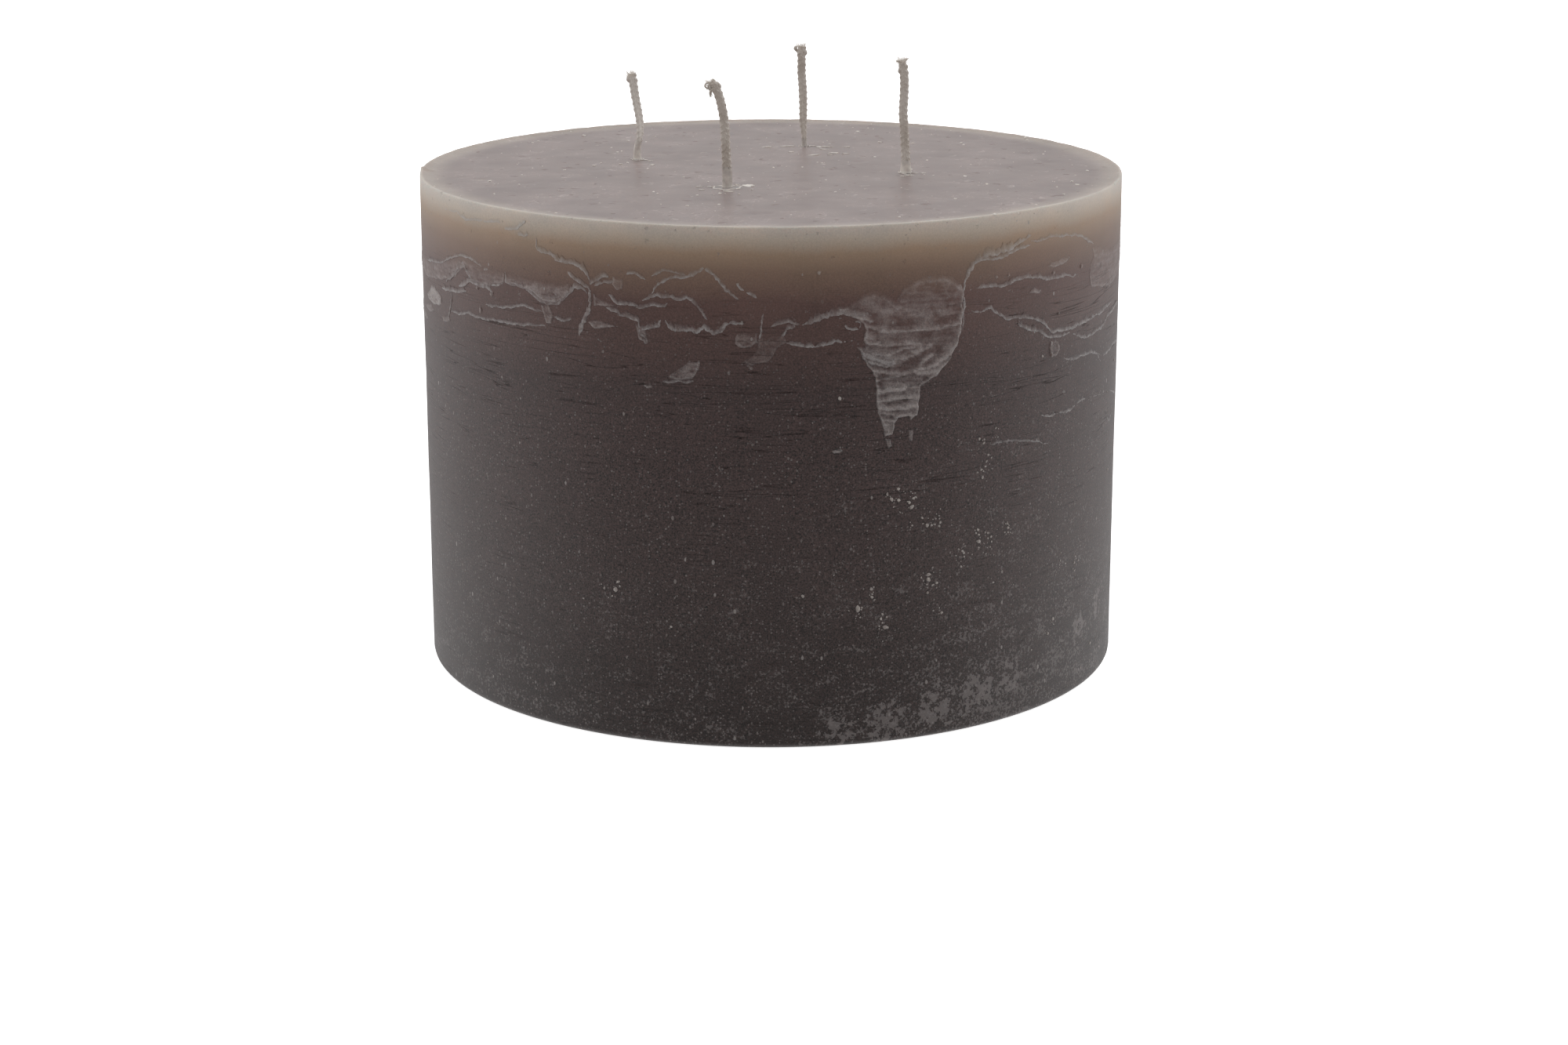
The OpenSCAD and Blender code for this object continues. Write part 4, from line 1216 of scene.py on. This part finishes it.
def smoothLine(knots):
    # a smooth curve through all the knots
    knots = [2 * knots[0] - knots[1]] + knots + [2 * knots[-1] - knots[-2]]
    line = []
    for a, b, c, d in zip(knots, knots[1:], knots[2:], knots[3:]):
        for t in [k / 8 for k in range(8)]:
            line.append((2 * b + (c - a) * t + (2 * a - 5 * b + 4 * c - d) * t ** 2
                         + (3 * b - a - 3 * c + d) * t ** 3) / 2)
    line.append(knots[-2])
    return line


def wickLine(place, below=1.0):
    # a wick's route, from a little inside the wax
    foot = wickFoot(place)
    knots = [Vector((0, 0, -below)), Vector((0, 0, 1)),
             Vector((0, 0, 3))] + [Vector(p) for p in wickRoutes[place]]
    return [foot + p * mm for p in smoothLine(knots)]


# Bleached cotton yarn, plaited flat and primed with wax. Soft and matt, with darker gaps between the yarns
# and a fine thread twist along each one.
cotton = {
    "dark": "#bbafa3",
    "light": "#e2dad1",
    "primed": "#f2ece5",
    "thread": 0.25 * mm,
    "stain": 6 * mm,
    "relief": 0.05 * mm,
    "roughness": 0.85,
}


def plaitedCotton():
    material, add = newMaterial("cottonYarnPlaitedPrimed")
    spot = add("TexCoord").outputs["Object"]
    thread = add("TexNoise", {"Vector": spot, "Scale": 1 / cotton["thread"], "Detail": 3.0})
    stain = add("TexNoise", {"Vector": spot, "Scale": 1 / cotton["stain"], "Detail": 2.0})
    both = add("Math", {0: thread, 1: stain}, operation="ADD")
    tone = add("MapRange", {"Value": both, "From Min": 0.7, "From Max": 1.3})
    colour = add("Mix", {
        "Factor": tone, "A": linear(cotton["dark"]), "B": linear(cotton["light"])}, data_type="RGBA")
    # priming wax shows pale towards the foot; along the bundles' edges the pale is partly priming wax and
    # partly painted highlight where the edges catch the light
    primed = add("Attribute", attribute_name="primed").outputs["Fac"]
    height = add("SeparateXYZ", {"Vector": spot}).outputs["Z"]
    foot = add("MapRange", {
        "Value": height, "From Min": flatHeight + 12 * mm, "From Max": flatHeight + 2 * mm, "To Max": 0.3})
    primed = add("Math", {0: primed, 1: foot}, operation="MAXIMUM")
    colour = add("Mix", {"Factor": primed, "A": colour, "B": linear(cotton["primed"])}, data_type="RGBA")
    bump = add("Bump", {"Height": thread, "Strength": 0.5, "Distance": cotton["relief"]})
    shader = add("BsdfPrincipled", {
        "Base Color": colour, "Roughness": cotton["roughness"], "Normal": bump, "Specular IOR Level": 0.25,
        "Sheen Weight": 0.15})
    add("OutputMaterial", {"Surface": shader})
    return material


def plaitTree():
    tree, add, size = newTree("plaitedWick", wicks)
    spine = add("GeometryNodeMeshToCurve", {"Mesh": size["Geometry"]})
    spine = add("GeometryNodeResampleCurve", {"Curve": spine, "Length": size["Step"]}, mode="LENGTH")
    total = add("Math", {0: size["Strands"], 1: size["Yarns"]}, operation="MULTIPLY")
    copies = add("GeometryNodeDuplicateElements", {"Geometry": spine, "Amount": total}, domain="SPLINE")
    number = copies.outputs["Duplicate Index"]
    strand = add("Math", {0: number, 1: size["Yarns"]}, operation="DIVIDE")
    strand = add("Math", {0: strand}, operation="FLOOR")
    yarn = add("Math", {0: number, 1: size["Yarns"]}, operation="MODULO")
    # where the bundle is in the plait
    along = add("GeometryNodeSplineParameter")
    turns = add("Math", {0: along.outputs["Length"], 1: size["Repeat"]}, operation="DIVIDE")
    lag = add("Math", {0: strand, 1: size["Strands"]}, operation="DIVIDE")
    phase = add("Math", {0: turns, 1: lag}, operation="ADD")
    phase = add("Math", {0: phase, 1: 2 * math.pi}, operation="MULTIPLY")
    swing = add("Math", {0: phase}, operation="SINE")
    swing = add("Math", {0: swing, 1: size["Swing"]}, operation="MULTIPLY")
    twice = add("Math", {0: phase, 1: -2.0}, operation="MULTIPLY")  # chevrons point up
    cross = add("Math", {0: twice}, operation="SINE")
    cross = add("Math", {0: cross, 1: size["Cross"]}, operation="MULTIPLY")
    # where the yarn is in its bundle: one in the middle, the rest in a ring that twists
    ringCount = add("Math", {0: size["Yarns"], 1: 1.0}, operation="SUBTRACT")
    roundShare = add("Math", {0: yarn, 1: ringCount}, operation="DIVIDE")
    lay = add("Math", {0: roundShare, 1: turns}, operation="SUBTRACT")
    lay = add("Math", {0: lay, 1: 2 * math.pi}, operation="MULTIPLY")
    inRing = add("Math", {0: yarn, 1: 0.5}, operation="GREATER_THAN")
    out = add("Math", {0: inRing, 1: size["Bundle Radius"]}, operation="MULTIPLY")
    sideways = add("Math", {0: lay}, operation="COSINE")
    sideways = add("Math", {0: sideways, 1: out, 2: swing}, operation="MULTIPLY_ADD")
    forward = add("Math", {0: lay}, operation="SINE")
    forward = add("Math", {0: forward, 1: out, 2: cross}, operation="MULTIPLY_ADD")
    # the cut end splays
    atEnd = add("MapRange", {"Value": along.outputs["Factor"], "From Min": 0.86, "From Max": 1.0})
    atEnd = add("Math", {0: atEnd, 1: 1.7}, operation="POWER")
    splay = add("Math", {0: atEnd, 1: size["Flare"], 2: 1.0}, operation="MULTIPLY_ADD")
    sideways = add("Math", {0: sideways, 1: splay}, operation="MULTIPLY")
    forward = add("Math", {0: forward, 1: splay}, operation="MULTIPLY")
    last = add("Math", {0: size["Strands"], 1: 1.0}, operation="SUBTRACT")
    parted = add("Math", {0: last, 1: -0.5, 2: strand}, operation="MULTIPLY_ADD")
    parted = add("Math", {0: parted, 1: size["Fan"]}, operation="MULTIPLY")
    sideways = add("Math", {0: parted, 1: atEnd, 2: sideways}, operation="MULTIPLY_ADD")
    # some feet are squeezed thin
    pinch = add("MapRange", {
        "Value": along.outputs["Length"], "From Min": 2 * mm, "From Max": 9 * mm, "To Min": size["Pinch"],
        "To Max": 1.0})
    sideways = add("Math", {0: sideways, 1: pinch}, operation="MULTIPLY")
    forward = add("Math", {0: forward, 1: pinch}, operation="MULTIPLY")
    # the flat face turns along the wick
    facing = add("Mix", {
        "Factor": along.outputs["Factor"], "A": size["Foot Turn"], "B": size["End Turn"]},
        data_type="FLOAT")
    sine = add("Math", {0: facing}, operation="SINE")
    cosine = add("Math", {0: facing}, operation="COSINE")
    cosine = add("Math", {0: cosine, 1: -1.0}, operation="MULTIPLY")
    face = add("CombineXYZ", {"X": sine, "Y": cosine})
    heading = add("GeometryNodeInputTangent")
    across = add("VectorMath", {0: heading, 1: face}, operation="CROSS_PRODUCT")
    across = add("VectorMath", {0: across}, operation="NORMALIZE")
    through = add("VectorMath", {0: across, 1: heading}, operation="CROSS_PRODUCT")
    shift = add("VectorMath", {0: across, "Scale": sideways}, operation="SCALE")
    shiftIn = add("VectorMath", {0: through, "Scale": forward}, operation="SCALE")
    shift = add("VectorMath", {0: shift, 1: shiftIn}, operation="ADD")
    yarns = add("GeometryNodeSetPosition", {"Geometry": copies.outputs["Geometry"], "Offset": shift})
    thin = add("MapRange", {
        "Value": along.outputs["Factor"], "From Min": 0.95, "From Max": 1.0, "To Min": 1.0, "To Max": 0.6})
    thin = add("Math", {0: thin, 1: size["Yarn Radius"]}, operation="MULTIPLY")
    thin = add("Math", {0: thin, 1: pinch}, operation="MULTIPLY")
    # the lower edge of each bundle is pale, partly priming wax and partly painted highlight where it catches
    # the light, and so is the cut end
    slant = add("Math", {0: phase}, operation="COSINE")
    upper = add("Math", {0: lay}, operation="COSINE")
    upper = add("Math", {0: upper, 1: slant}, operation="MULTIPLY")
    upper = add("MapRange", {"Value": upper, "From Min": -0.3, "From Max": -0.8})
    upper = add("Math", {0: upper, 1: inRing}, operation="MULTIPLY")
    upper = add("Math", {0: upper, 1: size["Waxed"]}, operation="MAXIMUM")
    cutEnd = add("MapRange", {
        "Value": along.outputs["Factor"], "From Min": 0.94, "From Max": 0.985, "To Max": 0.7})
    upper = add("Math", {0: upper, 1: cutEnd}, operation="MAXIMUM")
    yarns = add("GeometryNodeStoreNamedAttribute", {
        "Geometry": yarns, "Name": "primed", "Value": upper}, data_type="FLOAT", domain="POINT")
    ring = add("GeometryNodeCurvePrimitiveCircle", {"Resolution": 6, "Radius": 1.0})
    yarnMesh = add("GeometryNodeCurveToMesh", {
        "Curve": yarns, "Profile Curve": ring, "Scale": thin, "Fill Caps": True})
    # straight cords side by side fill the middle, and the priming wax on them shows between the bundles
    filling = add("GeometryNodeDuplicateElements", {"Geometry": spine, "Amount": 3}, domain="SPLINE")
    beside = add("Math", {0: filling.outputs["Duplicate Index"], 1: 1.0}, operation="SUBTRACT")
    beside = add("Math", {0: beside, 1: size["Core"]}, operation="MULTIPLY")
    beside = add("Math", {0: beside, 1: pinch}, operation="MULTIPLY")
    beside = add("VectorMath", {0: across, "Scale": beside}, operation="SCALE")
    filling = add("GeometryNodeSetPosition", {"Geometry": filling.outputs["Geometry"], "Offset": beside})
    coreThin = add("MapRange", {
        "Value": along.outputs["Factor"], "From Min": 0.95, "From Max": 0.995, "To Min": 1.0,
        "To Max": 0.4})
    coreThin = add("Math", {0: coreThin, 1: size["Core"]}, operation="MULTIPLY")
    coreThin = add("Math", {0: coreThin, 1: pinch}, operation="MULTIPLY")
    coreRing = add("GeometryNodeCurvePrimitiveCircle", {"Resolution": 12, "Radius": 1.0})
    core = add("GeometryNodeCurveToMesh", {
        "Curve": filling, "Profile Curve": coreRing, "Scale": coreThin, "Fill Caps": True})
    core = add("GeometryNodeStoreNamedAttribute", {
        "Geometry": core, "Name": "primed", "Value": size["Waxed"]}, data_type="FLOAT", domain="POINT")
    # loose fibres: a short bent hair, standing on the yarns and crowding at the cut end
    hair = add("GeometryNodeCurvePrimitiveLine", {"Start": (0, 0, 0), "End": (0, 0, 1)})
    hair = add("GeometryNodeResampleCurve", {"Curve": hair, "Count": 5})
    spots = add("GeometryNodeDistributePointsOnFaces", {
        "Mesh": yarnMesh, "Density": size["Hairs"], "Seed": size["Seed"]})
    lean = add("FunctionNodeRandomValue", {
        0: (-1.1, -1.1, -1.1), 1: (1.1, 1.1, 1.1), "Seed": 2}, data_type="FLOAT_VECTOR")
    lean = add("VectorMath", {0: lean, 1: spots.outputs["Normal"]}, operation="ADD")
    stand = add("FunctionNodeAlignRotationToVector", {"Vector": lean}, axis="Z")
    short = add("FunctionNodeRandomValue", {2: 0.3, 3: 1.0, "Seed": 4}, data_type="FLOAT")
    short = add("Math", {0: short, 1: size["Hair Length"]}, operation="MULTIPLY")
    fuzz = add("GeometryNodeInstanceOnPoints", {
        "Points": spots.outputs["Points"], "Instance": hair, "Rotation": stand, "Scale": short})
    # the cut end: fibres start round the end of the spine
    tip = add("GeometryNodeSampleCurve", {"Curves": spine, "Factor": 0.985}, mode="FACTOR")
    tipPoints = add("GeometryNodePoints", {
        "Count": size["Tip Fibres"], "Position": tip.outputs["Position"]})
    fan = add("FunctionNodeRandomValue", {
        0: (-1, -1, -1), 1: (1, 1, 1), "Seed": size["Seed"]}, data_type="FLOAT_VECTOR")
    spread = add("VectorMath", {0: fan, "Scale": size["Swing"]}, operation="SCALE")
    spread = add("VectorMath", {0: spread, 1: (1.4, 1.4, 0.8)}, operation="MULTIPLY")
    tipPoints = add("GeometryNodeSetPosition", {"Geometry": tipPoints, "Offset": spread})
    outward = add("VectorMath", {0: fan, "Scale": 0.75}, operation="SCALE")
    outward = add("VectorMath", {0: outward, 1: tip.outputs["Tangent"]}, operation="ADD")
    fanTurn = add("FunctionNodeAlignRotationToVector", {"Vector": outward}, axis="Z")
    long = add("FunctionNodeRandomValue", {2: 0.35, 3: 1.0, "Seed": 7}, data_type="FLOAT")
    long = add("Math", {0: long, 1: size["Tip Length"]}, operation="MULTIPLY")
    tuft = add("GeometryNodeInstanceOnPoints", {
        "Points": tipPoints, "Instance": hair, "Rotation": fanTurn, "Scale": long})
    loose = add("GeometryNodeJoinGeometry", {"Geometry": [fuzz, tuft]})
    loose = add("GeometryNodeRealizeInstances", {"Geometry": loose})
    # each fibre bends more towards its end
    here = add("GeometryNodeInputPosition")
    curl = add("TexNoise", {"Vector": here, "Scale": 1 / (0.7 * mm), "Detail": 1.0})
    curl = add("VectorMath", {0: curl.outputs["Color"], 1: (0.5, 0.5, 0.5)}, operation="SUBTRACT")
    bend = add("Math", {0: along.outputs["Factor"], 1: size["Hair Length"]}, operation="MULTIPLY")
    curl = add("VectorMath", {0: curl, "Scale": bend}, operation="SCALE")
    curl = add("VectorMath", {0: curl, "Scale": 1.6}, operation="SCALE")
    loose = add("GeometryNodeSetPosition", {"Geometry": loose, "Offset": curl})
    fine = add("MapRange", {"Value": along.outputs["Factor"], "To Min": 1.0, "To Max": 0.5})
    fine = add("Math", {0: fine, 1: size["Hair Radius"]}, operation="MULTIPLY")
    threeSides = add("GeometryNodeCurvePrimitiveCircle", {"Resolution": 3, "Radius": 1.0})
    hairMesh = add("GeometryNodeCurveToMesh", {
        "Curve": loose, "Profile Curve": threeSides, "Scale": fine, "Fill Caps": True})
    hairMesh = add("GeometryNodeStoreNamedAttribute", {
        "Geometry": hairMesh, "Name": "primed", "Value": 0.6}, data_type="FLOAT", domain="POINT")
    whole = add("GeometryNodeJoinGeometry", {"Geometry": [yarnMesh, hairMesh, core]})
    whole = add("GeometryNodeRealizeInstances", {"Geometry": whole})
    whole = add("GeometryNodeSetMaterial", {"Geometry": whole, "Material": size["Material"]})
    add("NodeGroupOutput", {"Geometry": whole})
    return tree


def mergeInto(piece, other):
    both = bmesh.new()
    both.from_mesh(piece.data)
    both.from_mesh(other.data)
    both.to_mesh(piece.data)
    both.free()
    bpy.data.objects.remove(other)


def roundCord(place):
    # the primed cord inside the wax, down to the sustainer
    foot = wickFoot(place)
    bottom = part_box("wick_" + place)[0][2]
    sides = cord["sides"]
    turns = [2 * math.pi * i / sides for i in range(sides)]
    ring = [(foot.x + cord["radius"] * math.cos(t), foot.y + cord["radius"] * math.sin(t)) for t in turns]
    points = [(x, y, bottom) for x, y in ring] + [(x, y, foot.z - cord["below"]) for x, y in ring]
    faces = [(i, (i + 1) % sides, sides + (i + 1) % sides, sides + i) for i in range(sides)]
    faces += [list(range(sides - 1, -1, -1)), list(range(sides, 2 * sides))]
    return meshPiece("cord", points, faces, wicks["material"])


# threads that have come loose near an end, as points right, back and up from the foot in mm
looseThreads = {
    "front": [[(-3.6, -1.6, 28), (-4.8, -2, 29), (-5.7, -2.1, 28.8), (-6, -2.1, 28), (-5.2, -2.1, 27.3)],
              [(-3.4, -1.8, 27.6), (-4.2, -2.2, 27), (-4.5, -2.2, 26.2), (-4.4, -2.2, 25.4)],
              [(-3.6, -1.6, 27.2), (-4.1, -1.9, 26.6), (-4.1, -1.9, 25.8)]],
}
wicks["material"] = plaitedCotton()
plait = plaitTree()
# a loose thread is one thin bundle of the same yarns
threads = dict(wicks, strands=1, swing=0.15 * mm, cross=0.0, core=0.04 * mm, waxed=0.0, yarnRadius=0.09 * mm,
               bundleRadius=0.16 * mm, tipFibres=24, tipLength=0.7 * mm)
for number, place in enumerate(places):
    footTurn, endTurn = [math.radians(turn) for turn in wickTurns[place]]
    sizes = dict(wicks, **ownSizes[place], footTurn=footTurn, endTurn=endTurn, seed=number + 1,
                 flare=wicks["flare"] * frayed[place], fan=wicks["fan"] * frayed[place])
    name = "plaitedWick_" + place
    wick = bakeTree(name, lineHost(name, [wickLine(place)]), plait, sizes)
    for thread, path in enumerate(looseThreads.get(place, [])):
        line = [wickFoot(place) + p * mm for p in smoothLine([Vector(p) for p in path])]
        loose = bakeTree("looseThread", lineHost("looseThread", [line]), plait,
                         dict(threads, seed=10 * number + thread))
        mergeInto(wick, loose)
    mergeInto(wick, roundCord(place))
    joinFrame(wick, "cotton", "wick_" + place)
    print("wick", place, "made,", len(wick.data.polygons), "faces")


# Wax round the foot of each wick: a thin sleeve and a collar of broken flakes

seals = {
    # height of the sleeve, its half width at the foot and at its top, and reach of the plate round it, in mm;
    # how flat the sleeve's top is against its width, and how pale it is
    "right": {"tall": 3.4, "foot": 1.65, "top": 1.38, "plate": 2.1, "flat": 0.75, "pale": 0.78},
    "back": {"tall": 2.2, "foot": 0.8, "top": 0.85, "plate": 1.7, "flat": 0.9, "pale": 0.6},
    "left": {"tall": 5.4, "foot": 1.2, "top": 1.12, "plate": 2.0, "flat": 0.85, "pale": 0.8},
    "front": {"tall": 5.6, "foot": 1.45, "top": 1.38, "plate": 3.9, "flat": 0.7, "pale": 0.58},
    "sides": 60,
    "flakeThick": 0.12 * mm,
    "flakeSides": 22,
    "seed": 31,
}
# flakes as right and back from the foot, long and deep in mm, turn in degrees
sealFlakes = {
    "right": [(2.6, -0.6, 2.4, 1.2, 10), (0.6, -4.8, 4.0, 1.6, 5), (-1.0, -6.4, 2.4, 1.0, -10),
              (5.0, -0.4, 2.0, 0.8, 20), (2.0, 5.4, 0.9, 1.2, 0)],
    "back": [(-5.4, -0.6, 4.0, 2.4, 4), (2.6, 0.4, 2.8, 1.0, -25), (4.4, -1.6, 2.4, 1.6, -30),
             (7.2, -1.0, 4.4, 2.2, 6), (-11.6, -2.8, 3.6, 1.4, 8), (5.6, -6.4, 3.6, 1.4, 0),
             (8.6, -14, 3.8, 1.4, 0), (12, -15, 2.6, 1.6, -8), (-4.0, -12, 2.2, 1.6, 10),
             (2.4, -18, 4.2, 0.9, 5), (7.6, -17, 2.2, 0.8, 0), (12.6, -1.6, 2.6, 1.0, 0)],
    "left": [(2.4, -1.0, 1.6, 1.4, -25), (3.6, -3.0, 0.9, 0.9, 35), (4.4, -3.0, 0.7, 0.9, 5),
             (-1.7, 0.2, 0.8, 1.6, 10), (4.9, -10.5, 1.4, 1.4, 0), (-4.4, -9.2, 1.3, 1.2, 0),
             (-12, -12, 1.4, 1.6, 20), (4.6, -11.6, 1.6, 0.9, -20)],
    "front": [(5.6, 3.2, 5.4, 3.0, -12), (2.6, 4.4, 1.2, 1.2, 40), (-7.6, 1.0, 2.4, 1.0, 10),
              (-4.6, 1.2, 2.6, 0.7, -5), (6.8, -3.2, 1.0, 1.4, -20), (-1.8, -10.5, 1.2, 1.2, 0),
              (0.2, -6.8, 4.0, 1.2, -15), (-7.0, -4.2, 2.6, 0.8, 15), (3.4, -11.6, 0.9, 1.0, 0)],
}


def sleeveAt(line, foot, rise):
    # the wick's centre at a height above the top
    centre = line[0]
    for point in line:
        if point.z - foot.z <= rise * mm:
            centre = point
    return centre


def makeSeal(place, material, chance):
    foot = wickFoot(place)
    line = wickLine(place)
    seal = seals[place]
    tall, plate = seal["tall"], seal["plate"]
    sides = seals["sides"]
    points, faces, paleness = [], [], []
    # in from the plate's raised edge, then up the sleeve to its ragged top: half width, height, paleness
    rings = [(plate, 0.02, 0.5), (plate * 0.96, 0.2, 0.9), (plate * 0.9, 0.18, 0.6),
             (plate * 0.84, 0.07, 0.0), (seal["foot"] + 0.2, 0.06, 0.0), (seal["foot"], 0.3, seal["pale"])]
    rings += [(seal["foot"] + (seal["top"] - seal["foot"]) * t, 0.3 + (tall - 0.3) * t,
               seal["pale"] * (1 - 0.2 * t))
              for t in (0.1, 0.25, 0.4, 0.55, 0.7, 0.85, 1.0)]
    facing = math.radians(wickTurns[place][0])
    loop = []
    for order, (radius, rise, tint) in enumerate(rings):
        row = []
        for i in range(sides):
            turn = 2 * math.pi * i / sides
            spot = Vector((math.cos(turn), math.sin(turn), 10 * places.index(place)))
            ragged = noise.noise(spot * 1.4) + 0.6 * noise.noise(spot * 4.5)
            edge = 1 + (0.3 if order < 4 else 0.03) * ragged
            up = rise + (1.1 * ragged if order == len(rings) - 1 else 0)
            centre = sleeveAt(line, foot, up)
            across = radius * edge * mm * math.cos(turn)
            through = radius * edge * mm * math.sin(turn) * (1 + (seal["flat"] - 1) * min(1, rise / tall))
            row.append(len(points))
            points.append((centre.x + across * math.cos(facing) - through * math.sin(facing),
                           centre.y + across * math.sin(facing) + through * math.cos(facing),
                           foot.z + up * mm))
            # the edge has broken away in places
            paleness.append(tint * (0.35 if order < 3 and noise.noise(spot * 2.2) < -0.15 else 1.0))
        loop.append(row)
    # a closed skin: down inside the wick and back under the plate
    for radius, rise in ((0.6, tall - 1.6), (0.6, -0.8), (plate * 0.9, -0.8)):
        centre = sleeveAt(line, foot, rise)
        row = []
        for i in range(sides):
            turn = 2 * math.pi * i / sides
            row.append(len(points))
            points.append((centre.x + radius * mm * math.cos(turn), centre.y + radius * mm * math.sin(turn),
                           foot.z + rise * mm))
            paleness.append(0.2)
        loop.append(row)
    for lower, upper in zip(loop, loop[1:] + loop[:1]):
        for i in range(sides):
            j = (i + 1) % sides
            faces.append((lower[i], lower[j], upper[j], upper[i]))
    for right, back, wide, deep, turned in sealFlakes[place]:
        addFlake(points, faces, paleness, Vector((foot.x + right * mm, foot.y + back * mm, 0)), wide, deep,
                 turned, chance)
    piece = meshPiece("wickSeal_" + place, points, faces, material, 40)
    paint(piece, paleness)
    return piece


def addFlake(points, faces, paleness, middle, wide, deep, turned, chance):
    # a thin broken plate that lies on the top, one side a little raised
    sides = seals["flakeSides"]
    turn = math.radians(turned)
    base = flatHeight + topWave(middle.x, middle.y)
    tiltX, tiltY = chance.uniform(-0.09, 0.09), chance.uniform(-0.09, 0.09)
    start = len(points)
    for layer in (0, 1):
        for i in range(sides):
            angle = 2 * math.pi * i / sides
            spot = Vector((math.cos(angle), math.sin(angle), middle.x * 900 + middle.y * 500))
            ragged = 0.8 + 0.5 * noise.noise(spot) + 0.45 * noise.noise(spot * 3.5)
            x, y = wide / 2 * ragged * math.cos(angle), deep / 2 * ragged * math.sin(angle)
            x, y = x * math.cos(turn) - y * math.sin(turn), x * math.sin(turn) + y * math.cos(turn)
            shrink = 0.9 if layer else 1.0
            lift = (tiltX * x + tiltY * y + 0.05) * mm
            points.append((middle.x + x * shrink * mm, middle.y + y * shrink * mm,
                           base + lift + (seals["flakeThick"] if layer else -0.3 * mm)))
            paleness.append(0.75 + 0.4 * noise.noise(spot * 2) if layer else 0.6)
    for i in range(sides):
        j = (i + 1) % sides
        faces.append((start + i, start + j, start + sides + j, start + sides + i))
    faces.append(list(range(start + sides - 1, start - 1, -1)))
    faces.append(list(range(start + sides, start + 2 * sides)))


chance = random.Random(seals["seed"])
for place in places:
    seal = makeSeal(place, dripMaterial, chance)
    joinFrame(seal, "seal_wax", "wick_seal_" + place)
print("seals made")


# Tin plate, cold rolled and stamped. Bright grey with a faint rolling grain and a dull haze of oxide.
tin = {
    "dull": "#b4b5b5",
    "bright": "#d6d7d8",
    "rolling": (6 * mm, 0.3 * mm, 6 * mm),  # length and width of the rolling grain
    "haze": 5 * mm,
    "relief": 0.03 * mm,
}


def stampedTin():
    material, add = newMaterial("tinPlateStamped")
    spot = add("TexCoord").outputs["Object"]
    rolled = add("Mapping", {"Vector": spot, "Scale": [1 / size for size in tin["rolling"]]})
    grain = add("TexNoise", {"Vector": rolled, "Scale": 1.0, "Detail": 4.0})
    haze = add("TexNoise", {"Vector": spot, "Scale": 1 / tin["haze"], "Detail": 3.0})
    colour = add("Mix", {
        "Factor": haze, "A": linear(tin["dull"]), "B": linear(tin["bright"])}, data_type="RGBA")
    gloss = add("MapRange", {
        "Value": grain, "From Min": 0.3, "From Max": 0.7, "To Min": 0.26, "To Max": 0.44})
    bump = add("Bump", {"Height": grain, "Strength": 0.25, "Distance": tin["relief"]})
    shader = add("BsdfPrincipled", {
        "Base Color": colour, "Metallic": 1.0, "Roughness": gloss, "Normal": bump})
    add("OutputMaterial", {"Surface": shader})
    return material


tinMaterial = stampedTin()
for place in places:
    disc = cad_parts["sustainer_" + place]
    disc.data.materials.clear()
    disc.data.materials.append(tinMaterial)
print("sustainers finished")
